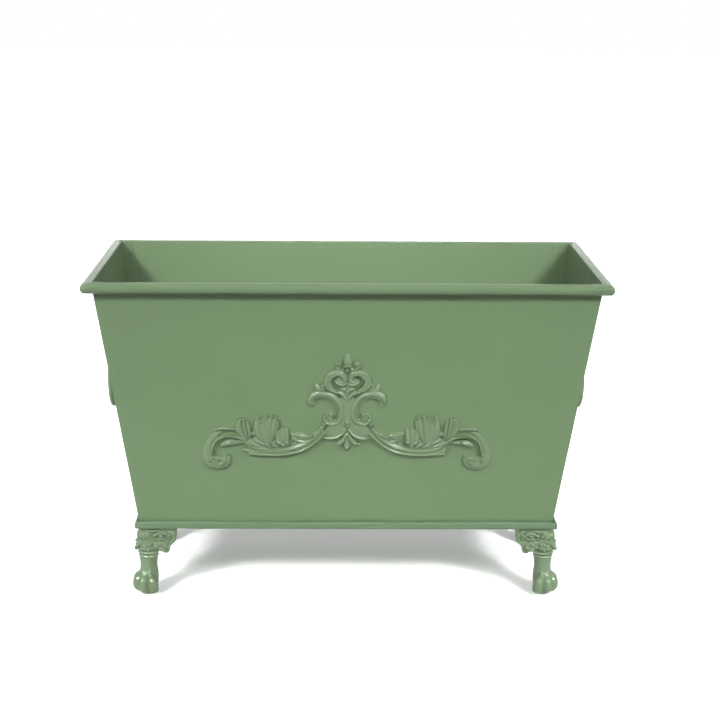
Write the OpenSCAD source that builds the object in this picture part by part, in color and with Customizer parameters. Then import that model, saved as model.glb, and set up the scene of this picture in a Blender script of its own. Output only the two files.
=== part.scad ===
// Raised planter box of painted sheet metal. Four walls lean outward from a
// moulded base band to a round bar rim. The box stands on four cast claw feet,
// carries cast scrollwork on its front and a drop ring on each end.
// The front faces -Y, the right end is +X and the floor is z = 0.

/* [Box] */
// Length over the rim, end to end
rim_length = 610; // [500:5:900]
// Depth over the rim, front to back
rim_depth = 305; // [270:5:450]
// Height of the rim's top above the floor
rim_height = 395; // [370:5:520]
// Outward lean of every wall from upright, in degrees
wall_lean = 8.2; // [5:0.1:10]
// Thickness of the wall sheet
wall_gauge = 1.6; // [1:0.1:2.5]
// How far the walls' lip stands below the rim's top
lip_drop = 0.6; // [0.2:0.1:3]
// Width of the seam flanges on the end walls
seam_flange = 12; // [6:1:20]

/* [Rim] */
// Diameter of the round bar
rim_bar = 12.2; // [8:0.2:16]

/* [Base band] */
// Height of the moulded band
band_height = 9.2; // [7:0.2:16]
// How far the band stands out from the wall's foot
band_reach = 6.2; // [5:0.1:9]
// Radius of the band's round nose
band_nose = 2.4; // [1.6:0.1:3.2]

/* [Floor pan] */
// Thickness of the floor pan's sheet
pan_gauge = 1.6; // [1:0.1:2.5]
// Height of the pan's turned-up edge
pan_edge = 11; // [6:1:20]
// Diameter of a drain hole
drain_dia = 12; // [6:1:20]
// Number of drain holes along the pan
drain_count = 3; // [2:1:5]
// Distance between neighbouring drain holes along the pan
drain_pitch = 150; // [80:5:180]

/* [Feet] */
// Height of a foot, floor to underside of the pan
foot_height = 84.6; // [84:0.1:100]
// Distance of the ankle's axis from the band's nose, both ways
ankle_inset = 14.5; // [13:0.5:18]
// Radius of the ankle
ankle_radius = 9.3; // [7:0.1:11]
// Distance of the paw's axis from the band's nose, both ways
paw_inset = 15; // [14:0.5:18]
// Radius of the paw
paw_radius = 12.5; // [11:0.5:14]
// Length of a foot's wing along the base
wing_length = 51; // [48:1:60]
// Thickness of a foot's wing
wing_gauge = 8; // [5:0.5:11]
// Number of toes
toe_count = 4; // [3:1:4]
// Radius of a toe's knuckle
toe_radius = 5.8; // [5:0.1:6.5]

/* [Foot screws] */
// Diameter of a screw's shank
screw_dia = 6; // [4:0.5:8]
// Length of a screw's shank inside the foot
screw_depth = 9; // [6:1:12]
// Diameter of a washer
washer_dia = 18; // [14:1:24]
// Thickness of a washer
washer_gauge = 1.5; // [1:0.1:2.5]
// Distance of a screw's axis from the band's nose, both ways
screw_inset = 27; // [25:1:34]

/* [Scrollwork] */
// Width of the scrollwork, end to end
scroll_span = 343.2; // [310:0.2:376]
// Height above the floor of the point where the scrollwork's arms spring
scroll_height = 219.7; // [190:1:240]
// Diameter of a fixing pin
pin_dia = 4; // [2:0.5:6]
// Diameter of a pin's peened head
pin_head_dia = 9; // [7:0.5:12]
// Height of a pin's peened head
pin_head_height = 2; // [1:0.1:3]

/* [Drop rings] */
// Radius of a ring, to the middle of its bar
ring_radius = 36; // [26:1:50]
// Diameter of a ring's bar
ring_bar = 8; // [5:0.5:9]
// Height of a ring's pin above the floor
ring_height = 286; // [260:1:300]
// Distance of a ring's pin from the end wall, level
ring_reach = 9.6; // [8:0.1:14]
// Diameter of a ring's pin
ring_pin_dia = 6; // [3:0.5:7]
// Length of the knuckle that holds a ring's pin
knuckle_length = 11; // [8:0.5:20]
// Wall of the knuckle round its bore
knuckle_wall = 2.5; // [1.5:0.1:3.5]
// Diameter of a boss's plate
boss_dia = 38; // [34:1:50]
// Thickness of a boss's plate
boss_gauge = 2.6; // [1.5:0.1:3]
// Diameter of a boss rivet
rivet_dia = 4; // [3:0.5:5]
// Diameter of a boss rivet's head
rivet_head_dia = 7; // [5:0.5:9]

/* [Hidden] */

$fn = 64;
sage = [0.495, 0.59, 0.44];
steel = [0.62, 0.63, 0.62];

// Fits
seat = 0.05;         // pieces that touch, such as a bar along a wall
pin_fit = 0.05;      // a pin in its drilled hole
running_fit = 0.06;  // a ring's pin in its knuckle
side_play = 0.5;     // a ring's shoulders beside the knuckle
pan_fit = 0.3;       // the pan inside the walls

// Walls
rim_r = rim_bar / 2;
rim_axis_z = rim_height - rim_r;
lip_z = rim_height - lip_drop;
lean_run = tan(wall_lean);
level_gauge = wall_gauge / cos(wall_lean);
// Half the distance between two opposite walls' outer faces, at height z
function wall_half(rim_span, z) =
    rim_span / 2 - rim_r - (rim_r + seat) / cos(wall_lean) + (z - rim_axis_z) * lean_run;
wall_foot_z = foot_height + seat;
wall_slant = (lip_z - wall_foot_z) / cos(wall_lean);

// Base band
band_half_x = wall_half(rim_length, foot_height) + band_reach;
band_half_y = wall_half(rim_depth, foot_height) + band_reach;
band_lip = 1.3;      // thickness of the band's top edge

// Floor pan
pan_half_x = wall_half(rim_length, foot_height) - level_gauge - pan_fit;
pan_half_y = wall_half(rim_depth, foot_height) - level_gauge - pan_fit;
// Corner notches that clear the end walls' seam flanges
pan_notch_x = seam_flange + seat;
pan_notch_y = level_gauge + 2 * seat;

// Feet: heights above the floor of the turned leg's landmarks
leg_top = foot_height;
knee_z = foot_height - 15;
shin_z = 52;
ankle_z = 38;
paw_top_z = 28;
knee_radius = 13.4;
pad_height = 5;      // plate at the top of a foot
boss_pad_height = screw_depth + 3;
wing_setback = 3.5;  // wing's face behind the band's nose

// Rings
ring_r = ring_bar / 2;
knuckle_r = ring_pin_dia / 2 + running_fit + knuckle_wall;
shoulder_r = ring_r + 0.6;
shoulder_y = knuckle_length / 2 + side_play + shoulder_r;
shoulder_angle = asin(shoulder_y / ring_radius);
ring_centre_drop = ring_radius * cos(shoulder_angle);
rivet_spread = boss_dia / 2 - rivet_head_dia / 2 - 1;
rivet_head_height = 1.4;

// Catmull-Rom point between b and c
function between(a, b, c, d, t) =
    0.5 * (2 * b + (c - a) * t + (2 * a - 5 * b + 4 * c - d) * t * t + (3 * b - a - 3 * c + d) * t * t * t);
function smooth_path(p, steps) = [
    for (i = [0:len(p) - 2]) for (j = [0:steps - 1])
        between(p[max(i - 1, 0)], p[i], p[i + 1], p[min(i + 2, len(p) - 1)], j / steps),
    p[len(p) - 1]
];
function unit(v) = v / norm(v);
function heading(p, i) =
    let (a = p[max(i - 1, 0)], b = p[min(i + 1, len(p) - 1)]) unit([b[0] - a[0], b[1] - a[1]]);

// Half-round strap of changing width that lies on the plane z = 0 and follows
// a path of [x, y, width] points; relief is its height where it is widest
module strap(relief, path, steps = 2, sides = 4) {
    p = smooth_path(path, steps);
    widest = max([for (q = p) q[2]]);
    ring = sides + 1;
    points = [
        for (i = [0:len(p) - 1]) let (h = heading(p, i), rise = relief * sqrt(max(p[i][2], 0.5) / widest))
            for (k = [0:sides]) let (a = 180 * k / sides)
                [
                    p[i][0] - h[1] * p[i][2] / 2 * cos(a),
                    p[i][1] + h[0] * p[i][2] / 2 * cos(a),
                    rise * sin(a)
                ]
    ];
    last = (len(p) - 1) * ring;
    faces = concat(
        [[for (k = [0:sides]) k]],
        [[for (k = [sides:-1:0]) last + k]],
        [for (i = [0:len(p) - 2]) for (k = [0:sides]) let (n = (k + 1) % ring)
            [i * ring + k, (i + 1) * ring + k, (i + 1) * ring + n, i * ring + n]]
    );
    polyhedron(points, faces, convexity = 6);
}

// Scrollwork: [relief, points], where the points are [across, up the wall, width]
// from where the arms spring, for a scrollwork 343.2 wide. The left half is given,
// and the right half mirrors it.
scroll_scale = scroll_span / 343.2;
crest_middle = [
    [7, [[0, 76, 8], [0, 82, 12.5], [0, 87, 9.5], [0, 90.5, 3]]],
    [6, [[0, 51, 6], [0, 39, 8.5], [0, 27, 9.5], [0, 15, 10.5], [0, 3, 10.5], [0, -6, 6]]],
    [6, [[0, -5, 4.5], [0, -18, 7], [0, -27, 8], [0, -33.5, 3.5]]],
    [6, [[0, 66, 7], [0, 72, 9], [0, 78, 7]]]
];
crest_half = [
    [6, [[-3.5, 68.5, 4.5], [-10, 73.5, 7.5], [-11.5, 78, 7.5], [-8.5, 80.5, 4.5]]],
    [8, [[-2, 42, 4], [-11, 42, 6], [-18.5, 46, 8], [-24, 56, 10.5], [-21.5, 63.5, 9.5], [-14.5, 67.5, 7],
         [-7, 66.5, 6.5], [-3, 61.5, 6], [-4.5, 56.5, 6], [-9, 55.5, 5.5], [-13, 56.5, 3]]],
    [5, [[-27, 40.5, 3.5], [-31.5, 45.5, 7.5], [-35, 49, 7.5], [-37.5, 54, 2.5]]],
    [8, [[-39.5, 24, 3], [-44, 30, 6.5], [-41, 37, 7.5], [-31.5, 39, 8], [-21, 37.5, 8], [-12, 32, 7],
         [-7.5, 23, 6.5], [-8, 13, 6.5], [-13, 5, 7.5], [-20.5, 3.5, 7], [-25, 7.5, 6], [-24.5, 12.5, 5.5],
         [-19, 15.5, 4.5]]],
    [6, [[-1, 3.5, 6], [-6.5, -5.5, 10.5], [-15, -11.5, 9.5], [-27.5, -15.5, 3]]],
    [5, [[-1.5, -14.5, 3.5], [-5.5, -21, 6], [-10.5, -24.5, 5.5], [-15, -22, 3]]]
];
spray_straps = [
    [6, [[-26.5, -5, 3.5], [-34, -15, 4.5], [-45, -25, 5], [-59, -32, 5.5], [-73, -35.5, 5.5],
         [-91, -36.5, 5.5], [-107.5, -35.5, 5], [-118, -35, 3]]],
    [6, [[-30.5, 0, 3.5], [-37, -10, 4.5], [-48.5, -20.5, 5], [-62.5, -27.5, 5.5], [-76.5, -31, 5.5],
         [-93, -31.5, 5.5], [-107.5, -29, 5.5], [-116.5, -23, 4.5], [-125.5, -17.5, 4.5],
         [-135.5, -14, 4.5], [-144.5, -12.5, 4.5], [-153, -16, 4.5], [-158.5, -23.5, 4.5],
         [-160.5, -31, 4], [-162, -38.5, 3]]],
    [8, [[-134, -4, 3.5], [-144.5, -6, 6], [-156, -9, 7.5], [-163.5, -17, 9], [-166.5, -29, 9],
         [-165, -42.5, 10.5], [-158.5, -50, 13], [-149, -50.5, 11.5], [-142, -45.5, 8], [-140, -39.5, 3.5]]],
    [6, [[-119, -20.5, 4.5], [-126, -11.5, 8], [-127.5, -2.5, 8], [-126, 7.5, 3.5]]],
    [6, [[-113, -25, 4.5], [-119, -10, 8], [-121, -1, 8], [-121.5, 6.5, 3.5]]],
    [6, [[-102, -28.5, 4], [-107.5, -14, 7.5], [-108.5, -2, 9.5], [-105, 8, 4]]],
    [8, [[-98, -30, 4.5], [-99.5, -13.5, 9], [-98.5, -0.5, 10.5], [-95, 9, 4.5]]],
    [7, [[-94, -30, 4.5], [-91, -13.5, 8], [-88.5, -1.5, 10], [-84.5, 8.5, 4.5]]],
    [5, [[-86, -30, 4.5], [-82, -16.5, 9], [-79.5, -9, 7.5], [-77, -4, 3.5]]],
    [5, [[-76, -30.5, 4.5], [-74, -19, 6], [-73.5, -11, 4.5], [-72, -6, 2.5]]],
    [5, [[-49.5, -22, 4.5], [-57.5, -18, 8], [-63, -15, 7], [-67, -13.5, 3.5]]],
    [4, [[-36.5, -10, 3.5], [-40, -12.5, 4.5], [-44, -14, 5], [-47.5, -16, 3]]],
    [5, [[-119.5, -22, 3.5], [-131, -22.5, 6.5], [-139.5, -23, 9.5], [-146, -24.5, 6], [-148, -28.5, 2.5]]],
    [4, [[-105, -34.5, 3.5], [-115.5, -33, 4], [-125.5, -31.5, 2.5]]]
];
// Fixing pins, [across, up the wall]; the outer ones are mirrored
crest_pins = [[0, 39], [0, -20]] * scroll_scale;
spray_pins = [[-59, -29.5], [-97, -33], [-158, -49]] * scroll_scale;

// Stands its children on the front wall's outer face, with +Z out of the wall
module on_front_wall(z) {
    translate([0, -wall_half(rim_depth, z), z]) rotate([90 + wall_lean, 0, 0]) children();
}

// Stands its children on the right end wall's outer face, with +Z out of the wall
module on_end_wall(z) {
    translate([wall_half(rim_length, z), 0, z]) rotate([90 + wall_lean, 0, 90]) children();
}

// Flat sheet whose outer face is z = 0 and whose lower edge is on y = 0
module sheet_panel(low_half, high_half) {
    translate([0, 0, -wall_gauge])
        linear_extrude(wall_gauge)
            polygon([[-low_half, 0], [low_half, 0], [high_half, wall_slant], [-high_half, wall_slant]]);
}

module fixing_holes(places) {
    for (p = places)
        translate([p[0], p[1], -2 * wall_gauge])
            cylinder(d = pin_dia + 2 * pin_fit, h = 3 * wall_gauge);
}

module long_wall() {
    on_front_wall(wall_foot_z)
        sheet_panel(wall_half(rim_length, wall_foot_z), wall_half(rim_length, lip_z));
}

module front_wall() {
    color(sage) difference() {
        long_wall();
        on_front_wall(scroll_height) {
            fixing_holes(crest_pins);
            fixing_holes(spray_pins);
            mirror([1, 0, 0]) fixing_holes(spray_pins);
        }
    }
}

module back_wall() {
    color(sage) mirror([0, 1, 0]) long_wall();
}

// Seam flange of an end wall, lying against the front wall's inner face
module corner_flange() {
    inner = level_gauge + seat;
    low = wall_half(rim_length, wall_foot_z) - inner;
    high = wall_half(rim_length, lip_z) - inner;
    on_front_wall(wall_foot_z)
        translate([0, 0, -2 * wall_gauge - seat])
            linear_extrude(wall_gauge)
                polygon([[low - seam_flange, 0], [low + inner / 2, 0], [high + inner / 2, wall_slant],
                         [high - seam_flange, wall_slant]]);
}

module end_wall() {
    inset = level_gauge + 2 * seat;
    difference() {
        union() {
            on_end_wall(wall_foot_z)
                sheet_panel(wall_half(rim_depth, wall_foot_z) - inset, wall_half(rim_depth, lip_z) - inset);
            corner_flange();
            mirror([0, 1, 0]) corner_flange();
        }
        on_end_wall(ring_height)
            for (side = [-1, 1])
                translate([side * rivet_spread, 0, -2 * wall_gauge])
                    cylinder(d = rivet_dia + 2 * pin_fit, h = 3 * wall_gauge);
    }
}

module right_wall() {
    color(sage) end_wall();
}

module left_wall() {
    color(sage) mirror([1, 0, 0]) end_wall();
}

module floor_pan() {
    first_drain = -(drain_count - 1) / 2 * drain_pitch;
    color(sage) difference() {
        translate([-pan_half_x, -pan_half_y, foot_height])
            cube([2 * pan_half_x, 2 * pan_half_y, pan_edge]);
        translate([-pan_half_x + pan_gauge, -pan_half_y + pan_gauge, foot_height + pan_gauge])
            cube([2 * (pan_half_x - pan_gauge), 2 * (pan_half_y - pan_gauge), pan_edge]);
        for (sx = [-1, 1]) for (sy = [-1, 1])
            translate([sx * pan_half_x, sy * pan_half_y, foot_height + pan_edge / 2])
                cube([2 * pan_notch_x, 2 * pan_notch_y, pan_edge + 2], center = true);
        for (i = [0:drain_count - 1]) for (side = [-1, 1])
            translate([first_drain + i * drain_pitch, side * pan_half_y / 2, foot_height - 1])
                cylinder(d = drain_dia, h = pan_gauge + 2);
        at_feet() translate([screw_inset, screw_inset, foot_height - 1])
            cylinder(d = screw_dia + 2 * pin_fit, h = pan_gauge + 2);
    }
}

// Cuts a front piece's ends to the mitre lines of a frame of the given half sizes
module front_mitre(half_x, half_y) {
    reach = 50;
    shift = seat / 2;
    linear_extrude(rim_height + reach)
        polygon([
            [-half_x - reach + shift, -half_y - reach],
            [half_x + reach - shift, -half_y - reach],
            [half_x - half_y - shift, 0],
            [half_y - half_x + shift, 0]
        ]);
}

module end_mitre(half_x, half_y) {
    reach = 50;
    shift = seat / 2;
    linear_extrude(rim_height + reach)
        polygon([
            [half_x + reach, -half_y - reach + shift],
            [half_x + reach, half_y + reach - shift],
            [half_x - half_y + shift, 0]
        ]);
}

module front_rim_bar() {
    intersection() {
        translate([-rim_length / 2, -rim_depth / 2 + rim_r, rim_axis_z])
            rotate([0, 90, 0]) cylinder(r = rim_r, h = rim_length);
        front_mitre(rim_length / 2, rim_depth / 2);
    }
}

module end_rim_bar() {
    intersection() {
        translate([rim_length / 2 - rim_r, rim_depth / 2, rim_axis_z])
            rotate([90, 0, 0]) cylinder(r = rim_r, h = rim_depth);
        end_mitre(rim_length / 2, rim_depth / 2);
    }
}

module rim_front() {
    color(sage) front_rim_bar();
}

module rim_back() {
    color(sage) mirror([0, 1, 0]) front_rim_bar();
}

module rim_right() {
    color(sage) end_rim_bar();
}

module rim_left() {
    color(sage) mirror([1, 0, 0]) end_rim_bar();
}

// Cross-section of the base band: x outward from the wall's foot, y up. A cove
// sweeps down from the thin top edge to a round nose.
module band_section() {
    nose_x = band_reach - band_nose;
    back_top = band_height * lean_run + seat;
    polygon(concat(
        [[seat, 0], [back_top, band_height]],
        [for (a = [0:15:90])
            [
                back_top + band_lip + (nose_x - back_top - band_lip) * (1 - cos(a)),
                band_height - (band_height - 2 * band_nose) * sin(a)
            ]],
        [for (a = [75:-15:-90]) [nose_x + band_nose * cos(a), band_nose + band_nose * sin(a)]]
    ));
}

module front_band_strip() {
    foot_y = wall_half(rim_depth, foot_height);
    intersection() {
        translate([0, -foot_y, foot_height])
            mirror([0, 1, 0]) rotate([90, 0, 90])
                linear_extrude(2 * band_half_x, center = true) band_section();
        front_mitre(band_half_x, band_half_y);
    }
}

module end_band_strip() {
    foot_x = wall_half(rim_length, foot_height);
    intersection() {
        translate([foot_x, 0, foot_height])
            rotate([90, 0, 0]) linear_extrude(2 * band_half_y, center = true) band_section();
        end_mitre(band_half_x, band_half_y);
    }
}

module band_front() {
    color(sage) front_band_strip();
}

module band_back() {
    color(sage) mirror([0, 1, 0]) front_band_strip();
}

module band_right() {
    color(sage) end_band_strip();
}

module band_left() {
    color(sage) mirror([1, 0, 0]) end_band_strip();
}

// Turned core of the leg, from the pad down into the paw
module leg_core() {
    translate([ankle_inset, ankle_inset, 0]) rotate_extrude() polygon([
        [0, leg_top - pad_height / 2],
        [knee_radius - 2.5, leg_top - pad_height / 2],
        [knee_radius, knee_z],
        [knee_radius - 0.6, knee_z - 8],
        [ankle_radius + 1.8, shin_z],
        [ankle_radius + 1.2, shin_z - 4],
        [ankle_radius, ankle_z + 4],
        [ankle_radius, ankle_z - 4],
        [ankle_radius + 1.4, paw_top_z],
        [0, paw_top_z - 8]
    ]);
}

module paw_core() {
    translate([paw_inset, paw_inset, 0]) rotate_extrude() polygon([
        [0, 0],
        [paw_radius - 2.2, 0],
        [paw_radius - 0.6, 3],
        [paw_radius, 11],
        [paw_radius - 0.4, 18],
        [ankle_radius + 1.6, paw_top_z - 1],
        [0, paw_top_z]
    ]);
}

// One toe, from its knuckle high on the paw down and back to its pad
module toe(angle) {
    knuckle_out = paw_radius + 3;
    pad_out = paw_radius - 3.5;
    reach = knuckle_out + 2 * toe_radius;
    translate([paw_inset, paw_inset, 0]) rotate(angle) intersection() {
        hull() {
            translate([knuckle_out, 0, paw_top_z - 12]) sphere(toe_radius, $fn = 16);
            translate([pad_out, 0, toe_radius - 1]) sphere(toe_radius - 0.6, $fn = 16);
        }
        translate([0, -reach, 0]) cube([reach, 2 * reach, foot_height]);
    }
}

// Outline of a wing: x along the base from the band's corner, y up from the floor
module wing_outline() {
    top = leg_top - pad_height / 2;
    lobe_x = wing_length - 14.5;
    lobe_z = foot_height - 28;
    polygon(concat(
        [[ankle_inset - 4, top], [wing_length, top], [wing_length - 0.4, foot_height - 10],
         [wing_length - 1.7, foot_height - 16], [wing_length - 5, foot_height - 19.5],
         [wing_length - 8.6, foot_height - 23]],
        [for (a = [0:-20:-180]) [lobe_x + 5.4 * cos(a), lobe_z + 5.2 * sin(a)]],
        [[ankle_inset + ankle_radius + 4, foot_height - 27], [ankle_inset + ankle_radius, shin_z - 6],
         [ankle_inset - 4, shin_z - 6]]
    ));
}

// A wing along the X side of the foot, with its volute and ribs
module foot_wing() {
    translate([0, wing_setback + wing_gauge, 0])
        rotate([90, 0, 0]) linear_extrude(wing_gauge - 1.5) wing_outline();
    translate([0, wing_setback + 1.6, 0]) rotate([90, 0, 0]) {
        top = foot_height - 10;
        strap(2, [[ankle_inset + 6, top - 4, 3], [ankle_inset + 13, top + 1, 4.5], [wing_length - 15, top + 2, 5],
                  [wing_length - 7, top - 2, 5], [wing_length - 6, top - 8, 4.5],
                  [wing_length - 11, top - 10, 4], [wing_length - 13, top - 6, 2.5]]);
        strap(2, [[ankle_inset + 8, top - 12, 3], [ankle_inset + 15, top - 13, 5],
                  [wing_length - 15, top - 17, 6], [wing_length - 14, top - 20, 4]]);
    }
}

module foot_pad() {
    translate([2, 2, foot_height - pad_height]) cube([wing_length - 2, wing_setback + wing_gauge, pad_height]);
    translate([2, 2, foot_height - pad_height]) cube([wing_setback + wing_gauge, wing_length - 2, pad_height]);
    translate([2, 2, foot_height - boss_pad_height])
        cube([screw_inset + screw_dia, screw_inset + screw_dia, boss_pad_height]);
}

// A foot in the corner's own frame: the band's nose lines are x = 0 and y = 0
module claw_foot() {
    toe_step = 128 / (toe_count - 1);
    difference() {
        union() {
            foot_pad();
            leg_core();
            paw_core();
            foot_wing();
            mirror([1, -1, 0]) foot_wing();
            for (i = [0:toe_count - 1])
                toe(225 - 64 + i * toe_step);
        }
        translate([screw_inset, screw_inset, foot_height - screw_depth - 1])
            cylinder(d = screw_dia + 2 * pin_fit, h = screw_depth + 2);
    }
}

module front_left_corner() {
    translate([-band_half_x, -band_half_y, 0]) children();
}

module at_feet() {
    for (mx = [0, 1]) for (my = [0, 1])
        mirror([mx, 0, 0]) mirror([0, my, 0]) front_left_corner() children();
}

module foot_front_left() {
    color(sage) front_left_corner() claw_foot();
}

module foot_front_right() {
    color(sage) mirror([1, 0, 0]) front_left_corner() claw_foot();
}

module foot_back_left() {
    color(sage) mirror([0, 1, 0]) front_left_corner() claw_foot();
}

module foot_back_right() {
    color(sage) mirror([1, 0, 0]) mirror([0, 1, 0]) front_left_corner() claw_foot();
}

module foot_washers() {
    color(steel) at_feet()
        translate([screw_inset, screw_inset, foot_height + pan_gauge]) difference() {
            cylinder(d = washer_dia, h = washer_gauge);
            translate([0, 0, -1]) cylinder(d = screw_dia + 2 * pin_fit, h = washer_gauge + 2);
        }
}

// Hexagon-headed screws, down through washer and pan into the feet
module foot_screws() {
    head_z = foot_height + pan_gauge + washer_gauge;
    color(steel) at_feet() translate([screw_inset, screw_inset, 0]) {
        translate([0, 0, foot_height - screw_depth]) cylinder(d = screw_dia, h = head_z - foot_height + screw_depth + 1);
        translate([0, 0, head_z]) cylinder(d = screw_dia * 1.9, h = screw_dia * 0.65, $fn = 6);
    }
}

module straps(list) {
    for (s = list) strap(s[0] * scroll_scale, s[1] * scroll_scale);
}

module crest() {
    color(sage) on_front_wall(scroll_height) {
        straps(crest_middle);
        straps(crest_half);
        mirror([1, 0, 0]) straps(crest_half);
    }
}

module spray_left() {
    color(sage) on_front_wall(scroll_height) straps(spray_straps);
}

module spray_right() {
    color(sage) on_front_wall(scroll_height) mirror([1, 0, 0]) straps(spray_straps);
}

module fixing_pins(places) {
    for (p = places) translate([p[0], p[1], 0]) {
        translate([0, 0, -wall_gauge - 1]) cylinder(d = pin_dia, h = wall_gauge + 1);
        translate([0, 0, -wall_gauge - pin_head_height])
            cylinder(d1 = pin_head_dia - 3, d2 = pin_head_dia, h = pin_head_height);
    }
}

module scroll_pins() {
    color(sage) on_front_wall(scroll_height) {
        fixing_pins(crest_pins);
        fixing_pins(spray_pins);
        mirror([1, 0, 0]) fixing_pins(spray_pins);
    }
}

// Places its children at the right-hand ring's pin
module at_ring_pin() {
    translate([wall_half(rim_length, ring_height) + ring_reach, 0, ring_height]) children();
}

// Riveted plate with a knuckle that is bored for the ring's pin
module ring_boss() {
    neck = ring_reach;
    difference() {
        union() {
            on_end_wall(ring_height) {
                cylinder(d = boss_dia, h = boss_gauge * 0.6);
                cylinder(d1 = boss_dia - 1, d2 = boss_dia - 5, h = boss_gauge);
            }
            at_ring_pin() rotate([90, 0, 0]) cylinder(r = knuckle_r, h = knuckle_length, center = true);
            at_ring_pin() translate([-neck + 1.2, -knuckle_length / 2, -knuckle_r * 0.8])
                cube([neck - 1.2, knuckle_length, knuckle_r * 1.6]);
        }
        at_ring_pin() rotate([90, 0, 0])
            cylinder(d = ring_pin_dia + 2 * running_fit, h = knuckle_length + 2, center = true);
        on_end_wall(ring_height) for (side = [-1, 1])
            translate([side * rivet_spread, 0, -1]) cylinder(d = rivet_dia + 2 * pin_fit, h = boss_gauge + 2);
    }
}

module boss_right() {
    color(sage) ring_boss();
}

module boss_left() {
    color(sage) mirror([1, 0, 0]) ring_boss();
}

module end_rivets() {
    on_end_wall(ring_height) for (side = [-1, 1]) translate([side * rivet_spread, 0, 0]) {
        translate([0, 0, -wall_gauge - 0.5]) cylinder(d = rivet_dia, h = wall_gauge + boss_gauge + 1);
        translate([0, 0, boss_gauge]) cylinder(d1 = rivet_head_dia, d2 = rivet_head_dia - 3, h = rivet_head_height);
        translate([0, 0, -wall_gauge - rivet_head_height])
            cylinder(d1 = rivet_head_dia - 3, d2 = rivet_head_dia, h = rivet_head_height);
    }
}

module boss_rivets() {
    color(sage) {
        end_rivets();
        mirror([1, 0, 0]) end_rivets();
    }
}

// Ring that hangs from its pin: a bar bent round, with the pin across its top
module drop_ring() {
    sweep = 360 - 2 * shoulder_angle;
    at_ring_pin() {
        translate([0, 0, -ring_centre_drop]) rotate([90, 0, 90])
            rotate(90 + shoulder_angle) rotate_extrude(angle = sweep) translate([ring_radius, 0]) circle(ring_r);
        for (side = [-1, 1]) translate([0, side * shoulder_y, 0]) sphere(shoulder_r);
        rotate([90, 0, 0]) cylinder(d = ring_pin_dia, h = 2 * shoulder_y, center = true);
    }
}

module ring_right() {
    color(sage) drop_ring();
}

module ring_left() {
    color(sage) mirror([1, 0, 0]) drop_ring();
}

front_wall();
back_wall();
left_wall();
right_wall();
floor_pan();
rim_front();
rim_back();
rim_left();
rim_right();
band_front();
band_back();
band_left();
band_right();
foot_front_left();
foot_front_right();
foot_back_left();
foot_back_right();
foot_screws();
foot_washers();
crest();
spray_left();
spray_right();
scroll_pins();
boss_left();
boss_right();
boss_rivets();
ring_left();
ring_right();
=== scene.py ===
"""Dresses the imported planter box: enamel, cast scrollwork, claw feet, rim and base band.

Meshes are built in millimetres, with the same numbers as the solids, and are turned to
metres when they are published. The front faces -Y and the floor is z = 0.
"""

import logging
import math
from collections.abc import Iterable, Sequence
from dataclasses import dataclass
from enum import Enum
from typing import Protocol

import bmesh
import bpy
from mathutils import Matrix, Vector


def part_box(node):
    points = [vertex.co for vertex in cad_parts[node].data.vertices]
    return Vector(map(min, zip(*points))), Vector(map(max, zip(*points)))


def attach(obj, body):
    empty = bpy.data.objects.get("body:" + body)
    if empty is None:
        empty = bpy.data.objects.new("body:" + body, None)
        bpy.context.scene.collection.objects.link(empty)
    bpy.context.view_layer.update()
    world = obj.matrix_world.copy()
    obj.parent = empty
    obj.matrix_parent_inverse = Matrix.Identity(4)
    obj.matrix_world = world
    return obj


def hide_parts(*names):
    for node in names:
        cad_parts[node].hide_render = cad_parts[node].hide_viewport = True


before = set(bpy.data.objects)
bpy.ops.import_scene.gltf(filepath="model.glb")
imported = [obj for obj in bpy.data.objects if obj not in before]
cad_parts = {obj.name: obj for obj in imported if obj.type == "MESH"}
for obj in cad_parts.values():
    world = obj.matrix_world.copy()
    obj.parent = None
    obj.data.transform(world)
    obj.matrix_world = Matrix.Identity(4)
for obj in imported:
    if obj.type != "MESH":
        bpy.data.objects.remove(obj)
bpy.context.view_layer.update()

MM = 0.001
BOX_BODY = "box"
# Mesh attribute that holds how hollow a casting is
CAVITY = "cavity"
# Points closer than this, in millimetres, are one point
MERGE_MM = 0.0005
# Degrees about Z from +X to the front left foot's outward diagonal
OUTWARD = 225.0

log = logging.getLogger("planter")


class Slot(Enum):
    """The record's material slots."""

    WALL = "wall_paint"
    CASTING = "casting_paint"
    PAN = "pan_paint"
    SCREW = "screw_steel"


class Hand(Enum):
    """Left or right half, as the sign of X."""

    LEFT = -1
    RIGHT = 1


# ---------------------------------------------------------------- finishes


def linear(hex_code: str) -> tuple[float, float, float, float]:
    """Turns an sRGB colour to linear.

    Args:
        hex_code: "#RRGGBB".

    Returns:
        Linear red, green and blue, and an alpha of 1.
    """
    channels = [int(hex_code[i : i + 2], 16) / 255 for i in (1, 3, 5)]
    curved = [c / 12.92 if c <= 0.04045 else ((c + 0.055) / 1.055) ** 2.4 for c in channels]
    return (curved[0], curved[1], curved[2], 1.0)


def per_metre(size_mm: float) -> float:
    """Scale of a pattern on Object coordinates whose features are size_mm across."""
    return 1 / (size_mm * MM)


def add_node(
    tree: bpy.types.NodeTree,
    kind: str,
    inputs: dict[str | int, object] | None = None,
    **settings: object,
) -> bpy.types.Node:
    """Adds a node with its settings, values and links.

    Args:
        tree: The tree that gets the node.
        kind: The node's type, such as "ShaderNodeTexNoise".
        inputs: Input name or number to a value, or to the socket that feeds it.
        **settings: The node's own properties.

    Returns:
        The new node.
    """
    node = tree.nodes.new(kind)
    for name, value in settings.items():
        setattr(node, name, value)
    for key, value in (inputs or {}).items():
        if isinstance(value, bpy.types.NodeSocket):
            tree.links.new(value, node.inputs[key])
        else:
            node.inputs[key].default_value = value
    return node


def empty_material(name: str) -> bpy.types.Material:
    """Makes a material with a cleared node tree.

    Args:
        name: The finish's name.

    Returns:
        The material.
    """
    material = bpy.data.materials.new(name)
    material.use_nodes = True
    material.node_tree.nodes.clear()
    return material


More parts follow.
